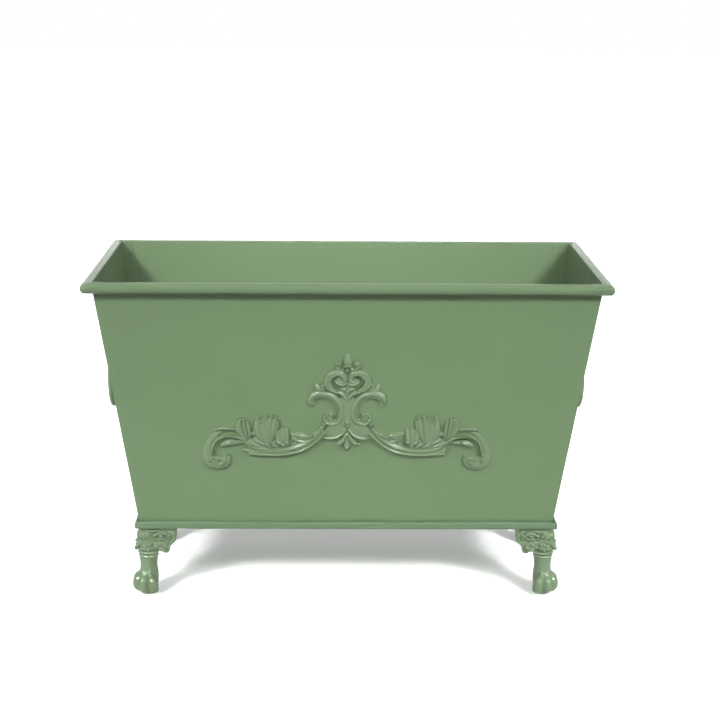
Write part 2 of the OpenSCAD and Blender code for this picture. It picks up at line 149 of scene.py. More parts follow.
@dataclass(frozen=True)
class SprayedEnamel:
    """Semi-gloss enamel sprayed on sheet steel and stoved.

    The spray leaves a faint orange peel and slightly uneven gloss, and the sheet under it
    sways a little between its welds, so reflections bend over the flat walls.
    """

    name: str
    colour: str = "#687F5D"
    shade: str = "#627957"
    roughness: float = 0.34
    specular: float = 0.36
    # Roughness drifts between these offsets from its typical value
    gloss_spread: tuple[float, float] = (-0.05, 0.07)
    gloss_drift_mm: float = 38.0
    # Painted shade: darker paint for faces that look into the box, for the shade inside it
    inside_shade_colour: str = ""
    mottle_mm: float = 70.0
    # Real orange peel is about 1 mm across: drawn at 3 mm, so that it shows at all
    peel_mm: float = 3.0
    peel_depth_mm: float = 0.012
    sway_mm: float = 150.0
    sway_depth_mm: float = 0.35
    chip_at_mm: tuple[float, float, float] | None = None
    # Reach of the chip where its ragged edge is widest, and the size of the rags
    chip_reach_mm: float = 3.52
    chip_rag_mm: float = 1.5
    rust: str = "#5A3322"

    def tone(self, tree: bpy.types.NodeTree, place: bpy.types.NodeSocket) -> bpy.types.NodeSocket:
        """Paint colour, a little uneven from the gun's passes.

        Args:
            tree: The material's tree.
            place: Object coordinates.

        Returns:
            The colour socket.
        """
        mottle = add_node(
            tree,
            "ShaderNodeTexNoise",
            {"Vector": place, "Scale": per_metre(self.mottle_mm), "Detail": 3.0, "Roughness": 0.5},
        )
        mixed = add_node(
            tree,
            "ShaderNodeMix",
            {"Factor": mottle.outputs["Fac"], "A": linear(self.colour), "B": linear(self.shade)},
            data_type="RGBA",
        )
        return mixed.outputs["Result"]

    def gloss(self, tree: bpy.types.NodeTree, place: bpy.types.NodeSocket) -> bpy.types.NodeSocket:
        """Roughness, which drifts a little over a few centimetres.

        Args:
            tree: The material's tree.
            place: Object coordinates.

        Returns:
            The roughness socket.
        """
        drift = add_node(
            tree,
            "ShaderNodeTexNoise",
            {"Vector": place, "Scale": per_metre(self.gloss_drift_mm), "Detail": 4.0},
        )
        least, most = (self.roughness + offset for offset in self.gloss_spread)
        spread = add_node(
            tree, "ShaderNodeMapRange", {"Value": drift.outputs["Fac"], "To Min": least, "To Max": most}
        )
        return spread.outputs["Result"]

    def relief(self, tree: bpy.types.NodeTree, place: bpy.types.NodeSocket) -> bpy.types.NodeSocket:
        """Normal with the sheet's sway under the orange peel.

        Args:
            tree: The material's tree.
            place: Object coordinates.

        Returns:
            The normal socket.
        """
        sway = add_node(
            tree,
            "ShaderNodeTexNoise",
            {"Vector": place, "Scale": per_metre(self.sway_mm), "Detail": 0.0},
        )
        bent = add_node(
            tree,
            "ShaderNodeBump",
            {"Height": sway.outputs["Fac"], "Strength": 1.0, "Distance": self.sway_depth_mm * MM},
        )
        peel = add_node(
            tree,
            "ShaderNodeTexNoise",
            {"Vector": place, "Scale": per_metre(self.peel_mm), "Detail": 1.0},
        )
        skin = add_node(
            tree,
            "ShaderNodeBump",
            {
                "Height": peel.outputs["Fac"],
                "Strength": 1.0,
                "Distance": self.peel_depth_mm * MM,
                "Normal": bent.outputs["Normal"],
            },
        )
        return skin.outputs["Normal"]

    def paint_inside_shade(
        self, tree: bpy.types.NodeTree, place: bpy.types.NodeSocket, paint: bpy.types.NodeSocket
    ) -> bpy.types.NodeSocket:
        """Paint darkened on faces that look into the box, as painted shade for the inside of the box.

        Args:
            tree: The material's tree.
            place: Object coordinates.
            paint: The paint's colour.

        Returns:
            The colour socket.
        """
        if not self.inside_shade_colour:
            return paint
        facing = add_node(tree, "ShaderNodeTexCoord").outputs["Normal"]
        outward = add_node(
            tree, "ShaderNodeVectorMath", {0: place, 1: facing}, operation="DOT_PRODUCT"
        )
        inner = add_node(
            tree, "ShaderNodeMath", {0: outward.outputs["Value"], 1: 0.0}, operation="LESS_THAN"
        )
        # Painted shade on the faces that look into the box
        mixed = add_node(
            tree,
            "ShaderNodeMix",
            {"Factor": inner.outputs["Value"], "A": paint, "B": linear(self.inside_shade_colour)},
            data_type="RGBA",
        )
        return mixed.outputs["Result"]

    def chipped(
        self, tree: bpy.types.NodeTree, place: bpy.types.NodeSocket, paint: bpy.types.NodeSocket
    ) -> bpy.types.NodeSocket:
        """Paint with one small chip down to rusted steel.

        Args:
            tree: The material's tree.
            place: Object coordinates.
            paint: The paint's colour.

        Returns:
            The colour socket with the chip.
        """
        if self.chip_at_mm is None:
            return paint
        ragged = add_node(
            tree,
            "ShaderNodeTexNoise",
            {"Vector": place, "Scale": per_metre(self.chip_rag_mm), "Detail": 3.0},
        )
        away = add_node(
            tree,
            "ShaderNodeVectorMath",
            {0: place, 1: tuple(c * MM for c in self.chip_at_mm)},
            operation="DISTANCE",
        )
        edge = add_node(
            tree,
            "ShaderNodeMath",
            {0: ragged.outputs["Fac"], 1: self.chip_reach_mm * MM},
            operation="MULTIPLY",
        )
        bare = add_node(
            tree,
            "ShaderNodeMath",
            {0: away.outputs["Value"], 1: edge.outputs["Value"]},
            operation="LESS_THAN",
        )
        mixed = add_node(
            tree,
            "ShaderNodeMix",
            {"Factor": bare.outputs["Value"], "A": paint, "B": linear(self.rust)},
            data_type="RGBA",
        )
        return mixed.outputs["Result"]

    def make(self) -> bpy.types.Material:
        """Builds the finish.

        Returns:
            The finished material.
        """
        material = empty_material(self.name)
        tree = material.node_tree
        place = add_node(tree, "ShaderNodeTexCoord").outputs["Object"]
        paint = self.paint_inside_shade(tree, place, self.tone(tree, place))
        paint = self.chipped(tree, place, paint)
        shader = add_node(
            tree,
            "ShaderNodeBsdfPrincipled",
            {
                "Base Color": paint,
                "Roughness": self.gloss(tree, place),
                "Normal": self.relief(tree, place),
                "Specular IOR Level": self.specular,
                "IOR": 1.5,
            },
        )
        add_node(tree, "ShaderNodeOutputMaterial", {"Surface": shader.outputs["BSDF"]})
        return material


@dataclass(frozen=True)
class CastEnamel(SprayedEnamel):
    """The same enamel, flooded thickly over iron castings.

    Its hollows are painted darker, as painted shade, and its ridges paler, as a painted highlight.
    It dries glossier than on the sheet, so small round forms take bright points of light.
    """

    # Painted shade for the hollows and painted highlight for the ridges
    hollow: str = "#43573B"
    ridge: str = "#6F8664"
    roughness: float = 0.15
    specular: float = 0.55
    sway_depth_mm: float = 0.0
    peel_mm: float = 2.2
    peel_depth_mm: float = 0.02
    # How strongly the painted shade and the painted highlight are mixed in
    hollow_shade_strength: float = 0.6
    ridge_highlight_strength: float = 0.25
    # Share of a full hollow or ridge that still counts as level ground
    level_share: float = 0.08

    def tone(self, tree: bpy.types.NodeTree, place: bpy.types.NodeSocket) -> bpy.types.NodeSocket:
        """Paint colour with painted shade in the hollows and a painted highlight on the ridges,
        from the mesh's own measure of them.

        Args:
            tree: The material's tree.
            place: Object coordinates.

        Returns:
            The colour socket.
        """
        paint = super().tone(tree, place)
        depth = add_node(tree, "ShaderNodeAttribute", attribute_name=CAVITY).outputs["Fac"]
        # Mix painted shade into the hollows and a painted highlight onto the ridges
        for colour, far, strength in (
            (self.hollow, 1.0, self.hollow_shade_strength),
            (self.ridge, -1.0, self.ridge_highlight_strength),
        ):
            share = add_node(
                tree,
                "ShaderNodeMapRange",
                {"Value": depth, "From Min": self.level_share * far, "From Max": far, "To Max": strength},
            )
            paint = add_node(
                tree,
                "ShaderNodeMix",
                {"Factor": share.outputs["Result"], "A": paint, "B": linear(colour)},
                data_type="RGBA",
            ).outputs["Result"]
        return paint


@dataclass(frozen=True)
class ZincPlate:
    """Zinc-plated steel screws and washers, tumbled in the bath: dull, pale and finely scuffed."""

    name: str = "zinc_plated_steel"
    colour: str = "#C3C6C4"
    roughness_range: tuple[float, float] = (0.25, 0.5)
    scuff_mm: float = 1.5
    scuff_depth_mm: float = 0.03
    scuff_strength: float = 0.6

    def make(self) -> bpy.types.Material:
        """Builds the finish.

        Returns:
            The finished material.
        """
        material = empty_material(self.name)
        tree = material.node_tree
        place = add_node(tree, "ShaderNodeTexCoord").outputs["Object"]
        scuff = add_node(
            tree,
            "ShaderNodeTexNoise",
            {"Vector": place, "Scale": per_metre(self.scuff_mm), "Detail": 5.0},
        )
        least, most = self.roughness_range
        rough = add_node(
            tree, "ShaderNodeMapRange", {"Value": scuff.outputs["Fac"], "To Min": least, "To Max": most}
        )
        skin = add_node(
            tree,
            "ShaderNodeBump",
            {
                "Height": scuff.outputs["Fac"],
                "Strength": self.scuff_strength,
                "Distance": self.scuff_depth_mm * MM,
            },
        )
        shader = add_node(
            tree,
            "ShaderNodeBsdfPrincipled",
            {
                "Base Color": linear(self.colour),
                "Metallic": 1.0,
                "Roughness": rough.outputs["Result"],
                "Normal": skin.outputs["Normal"],
            },
        )
        add_node(tree, "ShaderNodeOutputMaterial", {"Surface": shader.outputs["BSDF"]})
        return material


# ---------------------------------------------------------------- the box's own shape


@dataclass(frozen=True)
class Side:
    """One side of the box, whose pieces are made as the front ones and then turned.

    Attributes:
        name: Front, right, back or left.
        half_run: Half the frame's length along the side.
        half_cross: Half its length across the side.
        span: The rim's length across the side.
        turn: Degrees about Z from the front.
    """

    name: str
    half_run: float
    half_cross: float
    span: float
    turn: float

    def turn_piece(self, bm: bmesh.types.BMesh) -> None:
        """Turns a mesh that was made as a front piece to this side."""
        bmesh.ops.rotate(bm, verts=bm.verts, matrix=Matrix.Rotation(math.radians(self.turn), 3, "Z"))


@dataclass(frozen=True)
class BoxShape:
    """Driving sizes of the box, in millimetres and degrees."""

    rim_length: float
    rim_depth: float
    rim_height: float
    bar: float
    lean: float = 8.2
    gauge: float = 1.6
    seat: float = 0.05
    foot_height: float = 84.6
    band_height: float = 9.2
    band_reach: float = 6.2

    @classmethod
    def from_frame(cls) -> "BoxShape":
        """Reads the rim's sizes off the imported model.

        Returns:
            The box's shape.
        """
        front_low, front_high = (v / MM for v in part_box("rim_front"))
        end_low, end_high = (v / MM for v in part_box("rim_left"))
        return cls(
            rim_length=round(front_high.x - front_low.x, 1),
            rim_depth=round(end_high.y - end_low.y, 1),
            rim_height=round(front_high.z, 1),
            bar=round(front_high.z - front_low.z, 1),
        )

    @property
    def lean_run(self) -> float:
        """How far a wall leans out for each millimetre of height."""
        return math.tan(math.radians(self.lean))

    @property
    def rim_axis_z(self) -> float:
        """Height of the rim bar's middle."""
        return self.rim_height - self.bar / 2

    def half(self, span: float, z: float) -> float:
        """Half the distance between two opposite walls' outer faces.

        Args:
            span: The rim's length or depth.
            z: Height above the floor.

        Returns:
            The half distance.
        """
        radius = self.bar / 2
        bar_side = (radius + self.seat) / math.cos(math.radians(self.lean))
        return span / 2 - radius - bar_side + (z - self.rim_axis_z) * self.lean_run

    @property
    def rim_half(self) -> tuple[float, float]:
        """Half length and half depth over the rim."""
        return self.rim_length / 2, self.rim_depth / 2

    @property
    def band_half(self) -> tuple[float, float]:
        """Half length and half depth over the base band's nose."""
        return (
            self.half(self.rim_length, self.foot_height) + self.band_reach,
            self.half(self.rim_depth, self.foot_height) + self.band_reach,
        )

    def sides(self, half_x: float, half_y: float) -> tuple[Side, ...]:
        """The four sides of a frame that runs round the box.

        Args:
            half_x: Half the frame's length.
            half_y: Half its depth.

        Returns:
            Front, right, back and left.
        """
        return (
            Side("front", half_x, half_y, self.rim_depth, 0),
            Side("right", half_y, half_x, self.rim_length, 90),
            Side("back", half_x, half_y, self.rim_depth, 180),
            Side("left", half_y, half_x, self.rim_length, -90),
        )


# ---------------------------------------------------------------- mesh helpers


class Bed(Protocol):
    """A surface that straps and beads are laid on."""

    def at(self, across: float, up: float, height: float) -> Vector:
        """The point at a place on the surface, a height above it."""


@dataclass(frozen=True)
class FlatBed:
    """A flat surface with its own across, up and outward directions."""

    origin: Vector
    across: Vector
    up: Vector
    out: Vector

    def at(self, across: float, up: float, height: float) -> Vector:
        """The point at a place on the surface, a height above it."""
        return self.origin + self.across * across + self.up * up + self.out * height


# A groove's width as a share of half the strap, and the mesh steps along and across a strap
FLUTE_WIDTH = 0.17
STROKE_STEPS = 7
STROKE_ACROSS = 16
# How deep a strap's sole lies under its bed, and the least share of its width at its ends
SINK = 0.8
BLUNT_TIP = 0.15


@dataclass(frozen=True)
class Stroke:
    """One cast strap.

    Attributes:
        relief: Height where it is widest.
        path: (across, up, width) points.
        flutes: Grooves, as places across from -1 at its right edge to 1 at its left edge.
        depth: The grooves' share of the relief.
        crown: 2 for a round back, more for a flatter one.
    """

    relief: float
    path: tuple[tuple[float, float, float], ...]
    flutes: tuple[float, ...] = ()
    depth: float = 0.4
    crown: float = 2.0

    def profile(self, t: float) -> float:
        """Height across the strap, as a share of its relief.

        Args:
            t: Place across, from -1 to 1.

        Returns:
            The share.
        """
        arch = max(0.0, 1 - abs(t) ** self.crown) ** (1 / self.crown)
        cut = sum(math.exp(-(((t - groove) / FLUTE_WIDTH) ** 2)) for groove in self.flutes)
        return arch * (1 - self.depth * cut)


@dataclass(frozen=True)
class Bead:
    """A round or oval bump: place, radius, the height of its middle, and its stretch."""

    across: float
    up: float
    radius: float
    height: float
    stretch: float = 1.0


def smooth_path(path: Sequence[Sequence[float]], steps: int) -> list[Vector]:
    """Passes a Catmull-Rom curve through points.

    Args:
        path: The points, with any number of coordinates.
        steps: Pieces that each span is cut into.

    Returns:
        The finer points.
    """
    points = [Vector(p) for p in path]
    last = len(points) - 1
    fine: list[Vector] = []
    for i in range(last):
        a, b, c, d = (points[min(max(k, 0), last)] for k in (i - 1, i, i + 1, i + 2))
        for step in range(steps):
            t = step / steps
            fine.append(
                0.5
                * (
                    2 * b
                    + (c - a) * t
                    + (2 * a - 5 * b + 4 * c - d) * t**2
                    + (3 * b - a - 3 * c + d) * t**3
                )
            )
    fine.append(points[last])
    return fine


def tip(distance: float, half_width: float) -> float:
    """How far a strap has opened from its rounded tip.

    Args:
        distance: Distance from the tip.
        half_width: Half the strap's width there.

    Returns:
        Share of its width.
    """
    if distance >= half_width:
        return 1.0
    return max(BLUNT_TIP, math.sqrt(1 - (1 - distance / half_width) ** 2))


def lay_stroke(bm: bmesh.types.BMesh, stroke: Stroke, bed: Bed, sign: int = 1) -> None:
    """Lays a strap on a bed, as a closed shell sunk a little into it.

    Args:
        bm: The mesh that gets the strap.
        stroke: The strap.
        bed: What it lies on.
        sign: 1, or -1 for its mirror image.
    """
    line = smooth_path(stroke.path, STROKE_STEPS)
    # Three more columns close the strap down its sides and across its sole
    rows, columns = len(line) - 1, STROKE_ACROSS + 3
    run = [0.0]
    for a, b in zip(line, line[1:]):
        run.append(run[-1] + (b.xy - a.xy).length)
    widest = max(p.z for p in line)
    grid = bmesh.ops.create_grid(bm, x_segments=rows, y_segments=columns, size=0.5)["verts"]
    for vert in grid:
        i = round((vert.co.x + 0.5) * rows)
        j = round((vert.co.y + 0.5) * columns)
        here = line[i]
        ahead = (line[min(i + 1, rows)].xy - line[max(i - 1, 0)].xy).normalized()
        half_width = here.z / 2
        taper = tip(run[i], half_width) * tip(run[-1] - run[i], half_width)
        if j <= STROKE_ACROSS:
            t = -math.cos(math.pi * j / STROKE_ACROSS)
            height = stroke.relief * math.sqrt(here.z / widest) * stroke.profile(t) * taper
        else:
            t = {1: 1.0, 2: -1.0, 3: -1.0}[j - STROKE_ACROSS]
            height = 0.0 if j == columns else -SINK
        side = half_width * t * taper
        vert.co = bed.at(sign * (here.x - ahead.y * side), here.y + ahead.x * side, height)
    bmesh.ops.remove_doubles(bm, verts=grid, dist=MERGE_MM)
    rims = [e for e in bm.edges if e.is_boundary]
    bmesh.ops.holes_fill(bm, edges=rims, sides=0)


def lay_bead(bm: bmesh.types.BMesh, bead: Bead, bed: Bed, sign: int = 1) -> None:
    """Sets a bead on a bed.

    Args:
        bm: The mesh that gets the bead.
        bead: The bead.
        bed: What it sits on.
        sign: 1, or -1 for its mirror image.
    """
    ball = bmesh.ops.create_uvsphere(bm, u_segments=14, v_segments=9, radius=bead.radius)["verts"]
    for vert in ball:
        across = sign * bead.across + vert.co.x
        vert.co = bed.at(across, bead.up + vert.co.y * bead.stretch, bead.height + vert.co.z)


def lay_weld(
    bm: bmesh.types.BMesh, radii: tuple[float, float, float], place: tuple[float, float, float]
) -> None:
    """Sets a low oval bump, as a spot weld or a tack leaves.

    Args:
        bm: The mesh that gets it.
        radii: Its half sizes along x, y and z.
        place: Its middle.
    """
    bump = bmesh.ops.create_uvsphere(bm, u_segments=12, v_segments=8, radius=1)["verts"]
    bmesh.ops.scale(bm, verts=bump, vec=radii)
    bmesh.ops.translate(bm, verts=bump, vec=place)


def limb(
    root: tuple[float, float], angle: float, path: Iterable[tuple[float, float, float]]
) -> list[tuple[float, float, float, float]]:
    """Stands a path on an upright plane through an axis.

    Args:
        root: The axis's x and y.
        angle: The plane's direction, in radians.
        path: (reach, height, radius) points.

    Returns:
        (x, y, z, radius) points.
    """
    across, along = math.cos(angle), math.sin(angle)
    return [(root[0] + reach * across, root[1] + reach * along, z, radius) for reach, z, radius in path]


def string_of_balls(bm: bmesh.types.BMesh, path: Sequence[Sequence[float]], steps: int = 4) -> None:
    """Sets overlapping balls along a path, which fuse to a rounded limb.

    Args:
        bm: The mesh that gets the balls.
        path: (x, y, z, radius) points.
        steps: Balls for each span.
    """
    for x, y, z, radius in smooth_path(path, steps):
        bmesh.ops.create_uvsphere(
            bm, u_segments=16, v_segments=10, radius=radius, matrix=Matrix.Translation((x, y, z))
        )


def turn_profile(
    bm: bmesh.types.BMesh,
    profile: Sequence[tuple[float, float]],
    axis: tuple[float, float],
    steps: int = 48,
) -> None:
    """Turns a profile about an upright axis, as on a lathe.

    Args:
        bm: The mesh that gets the turning.
        profile: (radius, height) points that start and end on the axis.
        axis: The axis's x and y.
        steps: Sides of the turning.
    """
    centre = Vector((axis[0], axis[1], 0))
    verts = [bm.verts.new(centre + Vector((r, 0, z))) for r, z in profile]
    edges = [bm.edges.new(pair) for pair in zip(verts, verts[1:])]
    bmesh.ops.spin(
        bm,
        geom=verts + edges,
        cent=centre,
        axis=(0, 0, 1),
        angle=math.tau,
        steps=steps,
        use_merge=True,
    )
    bmesh.ops.remove_doubles(bm, verts=bm.verts, dist=MERGE_MM)


def plate(bm: bmesh.types.BMesh, outline: Iterable[Vector], thickness: Vector) -> list[bmesh.types.BMVert]:
    """Makes a flat plate from its outline.

    Args:
        bm: The mesh that gets the plate.
        outline: Corner points in order.
        thickness: The way and distance through the plate.

    Returns:
        The plate's vertices.
    """
    face = bm.faces.new([bm.verts.new(p) for p in outline])
    near = list(face.verts)
    grown = bmesh.ops.extrude_face_region(bm, geom=[face], use_keep_orig=True)["geom"]
    far = [g for g in grown if isinstance(g, bmesh.types.BMVert)]
    bmesh.ops.translate(bm, verts=far, vec=thickness)
    return near + far


def relax(bm: bmesh.types.BMesh, passes: int) -> None:
    """Smooths a mesh, a given number of rounds."""
    for _ in range(passes):
        bmesh.ops.smooth_vert(
            bm, verts=bm.verts, factor=0.5, use_axis_x=True, use_axis_y=True, use_axis_z=True
        )


def fused(bm: bmesh.types.BMesh, voxel_mm: float, passes: int = 2) -> bmesh.types.BMesh:
    """Fuses overlapping shells to one soft skin, as a casting has.

    Args:
        bm: The shells. It is freed.
        voxel_mm: Size of the finest detail that is kept.
        passes: Rounds of smoothing after it.

    Returns:
        The fused mesh.
    """
    mesh = bpy.data.meshes.new("pattern")
    bm.to_mesh(mesh)
    bm.free()
    pattern = bpy.data.objects.new("pattern", mesh)
    bpy.context.scene.collection.objects.link(pattern)
    remesh = pattern.modifiers.new("fuse", "REMESH")
    remesh.mode = "VOXEL"
    remesh.voxel_size = voxel_mm
    remesh.adaptivity = 0
    depsgraph = bpy.context.evaluated_depsgraph_get()
    skin = bpy.data.meshes.new_from_object(pattern.evaluated_get(depsgraph))
    cast = bmesh.new()
    cast.from_mesh(skin)
    relax(cast, passes)
    bpy.data.objects.remove(pattern)
    bpy.data.meshes.remove(mesh)
    bpy.data.meshes.remove(skin)
    return cast


def measure_cavity(bm: bmesh.types.BMesh, full_mm: float = 0.28, passes: int = 9) -> None:
    """Writes how hollow the surface is at each vertex, from -1 on ridges to 1 in hollows.

    Args:
        bm: The mesh, in millimetres.
        full_mm: Depth below the smoothed surface that counts as 1.
        passes: Rounds of smoothing that it is held against.
    """
    bm.normal_update()
    soft = bm.copy()
    relax(soft, passes)
    layer = bm.verts.layers.float.new(CAVITY)
    for vert, softened in zip(bm.verts, soft.verts):
        depth = (softened.co - vert.co).dot(vert.normal) / full_mm
        vert[layer] = max(-1.0, min(1.0, depth))
    soft.free()


@dataclass
class Workshop:
    """Turns meshes to finished pieces that ride on the box, and dresses the solids that stay."""

    # Edges of a solid that are sharper than this, in degrees, are rounded
    edge_angle: float = 35.0
    # A rounded solid's shading breaks past this angle, and its faces past this area stay flat
    solid_crease: float = 50.0
    solid_flat_mm2: float = 60.0
    solid_merge_mm: float = 0.002

    def publish(
        self,
        name: str,
        bm: bmesh.types.BMesh,
        material: bpy.types.Material,
        slot: Slot,
        replaced: Sequence[str] = (),
        crease: float = 38.0,
        flat_mm2: float = math.inf,
    ) -> None:
        """Publishes a mesh as a piece.

        Args:
            name: The piece's name.
            bm: The mesh, in millimetres. It is freed.
            material: Its finish.
            slot: The record's slot for it; not used.
            replaced: Solids that it stands for.
            crease: Angle in degrees past which an edge stays sharp.
            flat_mm2: Area past which a face is shaded flat.
        """
        bmesh.ops.recalc_face_normals(bm, faces=bm.faces)
        flat = [face.index for face in bm.faces if face.calc_area() > flat_mm2]
        bmesh.ops.scale(bm, vec=(MM, MM, MM), verts=bm.verts)
        mesh = bpy.data.meshes.new(name)
        bm.to_mesh(mesh)
        bm.free()
        mesh.shade_smooth()
        mesh.set_sharp_from_angle(angle=math.radians(crease))
        for index in flat:
            mesh.polygons[index].use_smooth = False
        piece = bpy.data.objects.new(name, mesh)
        bpy.context.scene.collection.objects.link(piece)
        mesh.materials.append(material)
        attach(piece, BOX_BODY)
        if replaced:
            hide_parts(*replaced)
        log.info("%s: %d faces, for %s", name, len(mesh.polygons), ", ".join(replaced) or "itself")

    def soften(self, node: str, material: bpy.types.Material, slot: Slot, edge_mm: float) -> None:
        """Publishes a copy of a solid with its sharp edges broken, as filed or painted metal has.

        Args:
            node: The solid's name.
            material: The finish.
            slot: The record's slot for it.
            edge_mm: How far each edge is rounded.
        """
        bm = bmesh.new()
        bm.from_mesh(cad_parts[node].data)
        bmesh.ops.scale(bm, vec=(1 / MM, 1 / MM, 1 / MM), verts=bm.verts)
        bmesh.ops.remove_doubles(bm, verts=bm.verts, dist=self.solid_merge_mm)
        bmesh.ops.recalc_face_normals(bm, faces=bm.faces)
        bmesh.ops.dissolve_limit(
            bm, angle_limit=math.radians(1), verts=bm.verts, edges=bm.edges, delimit={"NORMAL"}
        )
        least = math.radians(self.edge_angle)
        sharp = [e for e in bm.edges if e.is_manifold and e.calc_face_angle(0) > least]
        bmesh.ops.bevel(
            bm,
            geom=sharp,
            offset=edge_mm,
            offset_type="OFFSET",
            affect="EDGES",
            segments=2,
            profile=0.5,
            clamp_overlap=True,
            material=-1,
        )
        bm.faces.index_update()
        crease, flat = self.solid_crease, self.solid_flat_mm2
        self.publish(f"{node}_painted", bm, material, slot, (node,), crease=crease, flat_mm2=flat)

    def dress(self, nodes: Iterable[str], material: bpy.types.Material) -> None:
        """Gives solids that stay their finish.

        Args:
            nodes: The solids' names.
            material: The finish.
        """
        for name in nodes:
            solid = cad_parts[name]
            solid.data.materials.clear()
            solid.data.materials.append(material)
            log.info("%s: kept, in %s", name, material.name)


# ---------------------------------------------------------------- sheet metal


@dataclass
class SheetBox:
    """The four walls, the floor pan, and the spot welds that hold the rim."""

    shop: Workshop
    box: BoxShape
    walls: tuple[str, ...] = ("front_wall", "back_wall", "left_wall", "right_wall")
    wall_edge: float = 0.35
    weld_pitch: float = 20.0
    weld_radius: float = 1.7
    weld_height: float = 0.55
    weld_end_gap: float = 30.0
    # The inner faces take darker paint, painted shade for the inside of the box
    wall_finish: SprayedEnamel = SprayedEnamel("sprayed_enamel_on_walls", inside_shade_colour="#5E7354")
    pan_finish: SprayedEnamel = SprayedEnamel(
        "sprayed_enamel_on_pan", colour="#5E7753", shade="#58704D", roughness=0.42
    )

    def weld_row(self, side: Side) -> bmesh.types.BMesh:
        """Spot welds along a wall's inner face, level with the rim's middle.

        Args:
            side: The wall's side of the rim.

        Returns:
            The welds' mesh, made as the front wall's.
        """
        bm = bmesh.new()
        level_gauge = self.box.gauge / math.cos(math.radians(self.box.lean))
        inner_y = level_gauge - self.box.half(side.span, self.box.rim_axis_z)
        count = int(2 * (side.half_run - self.weld_end_gap) / self.weld_pitch)
        radii = (self.weld_radius, self.weld_height, self.weld_radius)
        for k in range(count + 1):
            x = (k - count / 2) * self.weld_pitch
            lay_weld(bm, radii, (x, inner_y, self.box.rim_axis_z))
        return bm

    def build(self) -> None:
        """Dresses the walls and the pan, and adds the welds."""
        painted = self.wall_finish.make()
        for wall in self.walls:
            self.shop.soften(wall, painted, Slot.WALL, self.wall_edge)
        self.shop.dress(("floor_pan", "scroll_pins"), self.pan_finish.make())
        for side in self.box.sides(*self.box.rim_half):
            bm = self.weld_row(side)
            side.turn_piece(bm)
            self.shop.publish(f"spot_welds_{side.name}", bm, painted, Slot.WALL, crease=180)


def mitre(bm: bmesh.types.BMesh, side: Side) -> None:
    """Cuts a front piece's two ends to the mitre lines and closes them.

    Args:
        bm: The piece, which lies along X on the -Y side.
        side: The side of the frame that it is for.
    """
    for end in (-1, 1):
        bmesh.ops.bisect_plane(
            bm,
            geom=[*bm.verts, *bm.edges, *bm.faces],
            dist=0.0001,
            plane_co=(end * side.half_run, -side.half_cross, 0),
            plane_no=(end, 1, 0),
            clear_outer=True,
        )
        bmesh.ops.holes_fill(bm, edges=[e for e in bm.edges if e.is_boundary], sides=0)


@dataclass
class Rim:
    """Round bar round the top, mitred, welded and dressed back at the corners."""

    shop: Workshop
    box: BoxShape
    corner_round: float = 4.2
    bar_sides: int = 40
    end_rings: int = 24
    finish: SprayedEnamel = SprayedEnamel(
        "sprayed_enamel_on_rim",
        roughness=0.19,
        specular=0.36,
        sway_mm=45.0,
        sway_depth_mm=0.12,
        chip_at_mm=(-304.4, -151.0, 387.6),
    )

    def stations(self, half_run: float) -> list[float]:
        """Places along a bar where it has a ring, close together at its ends."""
        reach = 2 * self.box.bar
        ends = [half_run - reach * (k / self.end_rings) for k in range(self.end_rings + 1)]
        return [-x for x in ends] + list(reversed(ends))

    def bar(self, side: Side) -> bmesh.types.BMesh:
        """One bar, made as the front one.

        Args:
            side: The side that it is for.

        Returns:
            The bar's mesh.
        """
        radius, stations = self.box.bar / 2, self.stations(side.half_run)
        axis_y = radius - side.half_cross
        bm = bmesh.new()
        bmesh.ops.create_circle(
            bm,
            segments=self.bar_sides,
            radius=radius,
            matrix=Matrix.Translation((stations[0], axis_y, self.box.rim_axis_z))
            @ Matrix.Rotation(math.pi / 2, 4, "Y"),
        )
        ring = list(bm.edges)
        for here, there in zip(stations, stations[1:]):
            grown = bmesh.ops.extrude_edge_only(bm, edges=ring)["geom"]
            ring = [g for g in grown if isinstance(g, bmesh.types.BMEdge)]
            verts = [g for g in grown if isinstance(g, bmesh.types.BMVert)]
            bmesh.ops.translate(bm, verts=verts, vec=(there - here, 0, 0))
        mitre(bm, side)
        for vert in bm.verts:
            self.soften_corner(vert, side)
        return bm

    def soften_corner(self, vert: bmesh.types.BMVert, side: Side) -> None:
        """Pulls a vertex in to the rounded corner, if it stands outside it.

        Args:
            vert: The vertex.
            side: The side that its bar is for.
        """
        radius = self.box.bar / 2
        centre_x = math.copysign(side.half_run - self.corner_round, vert.co.x)
        centre_y = self.corner_round - side.half_cross
        out_x, out_y = vert.co.x - centre_x, vert.co.y - centre_y
        if out_x * centre_x <= 0 or out_y >= 0:
            return
        rise = min(radius, abs(vert.co.z - self.box.rim_axis_z))
        allowed = self.corner_round - radius + math.sqrt(radius**2 - rise**2)
        reach = math.hypot(out_x, out_y)
        if reach > allowed > 0:
            vert.co.x = centre_x + out_x * allowed / reach
            vert.co.y = centre_y + out_y * allowed / reach

    def build(self) -> None:
        """Builds the four bars."""
        material = self.finish.make()
        for side in self.box.sides(*self.box.rim_half):
            bm = self.bar(side)
            side.turn_piece(bm)
            self.shop.publish(f"rim_bar_{side.name}", bm, material, Slot.WALL, (f"rim_{side.name}",))


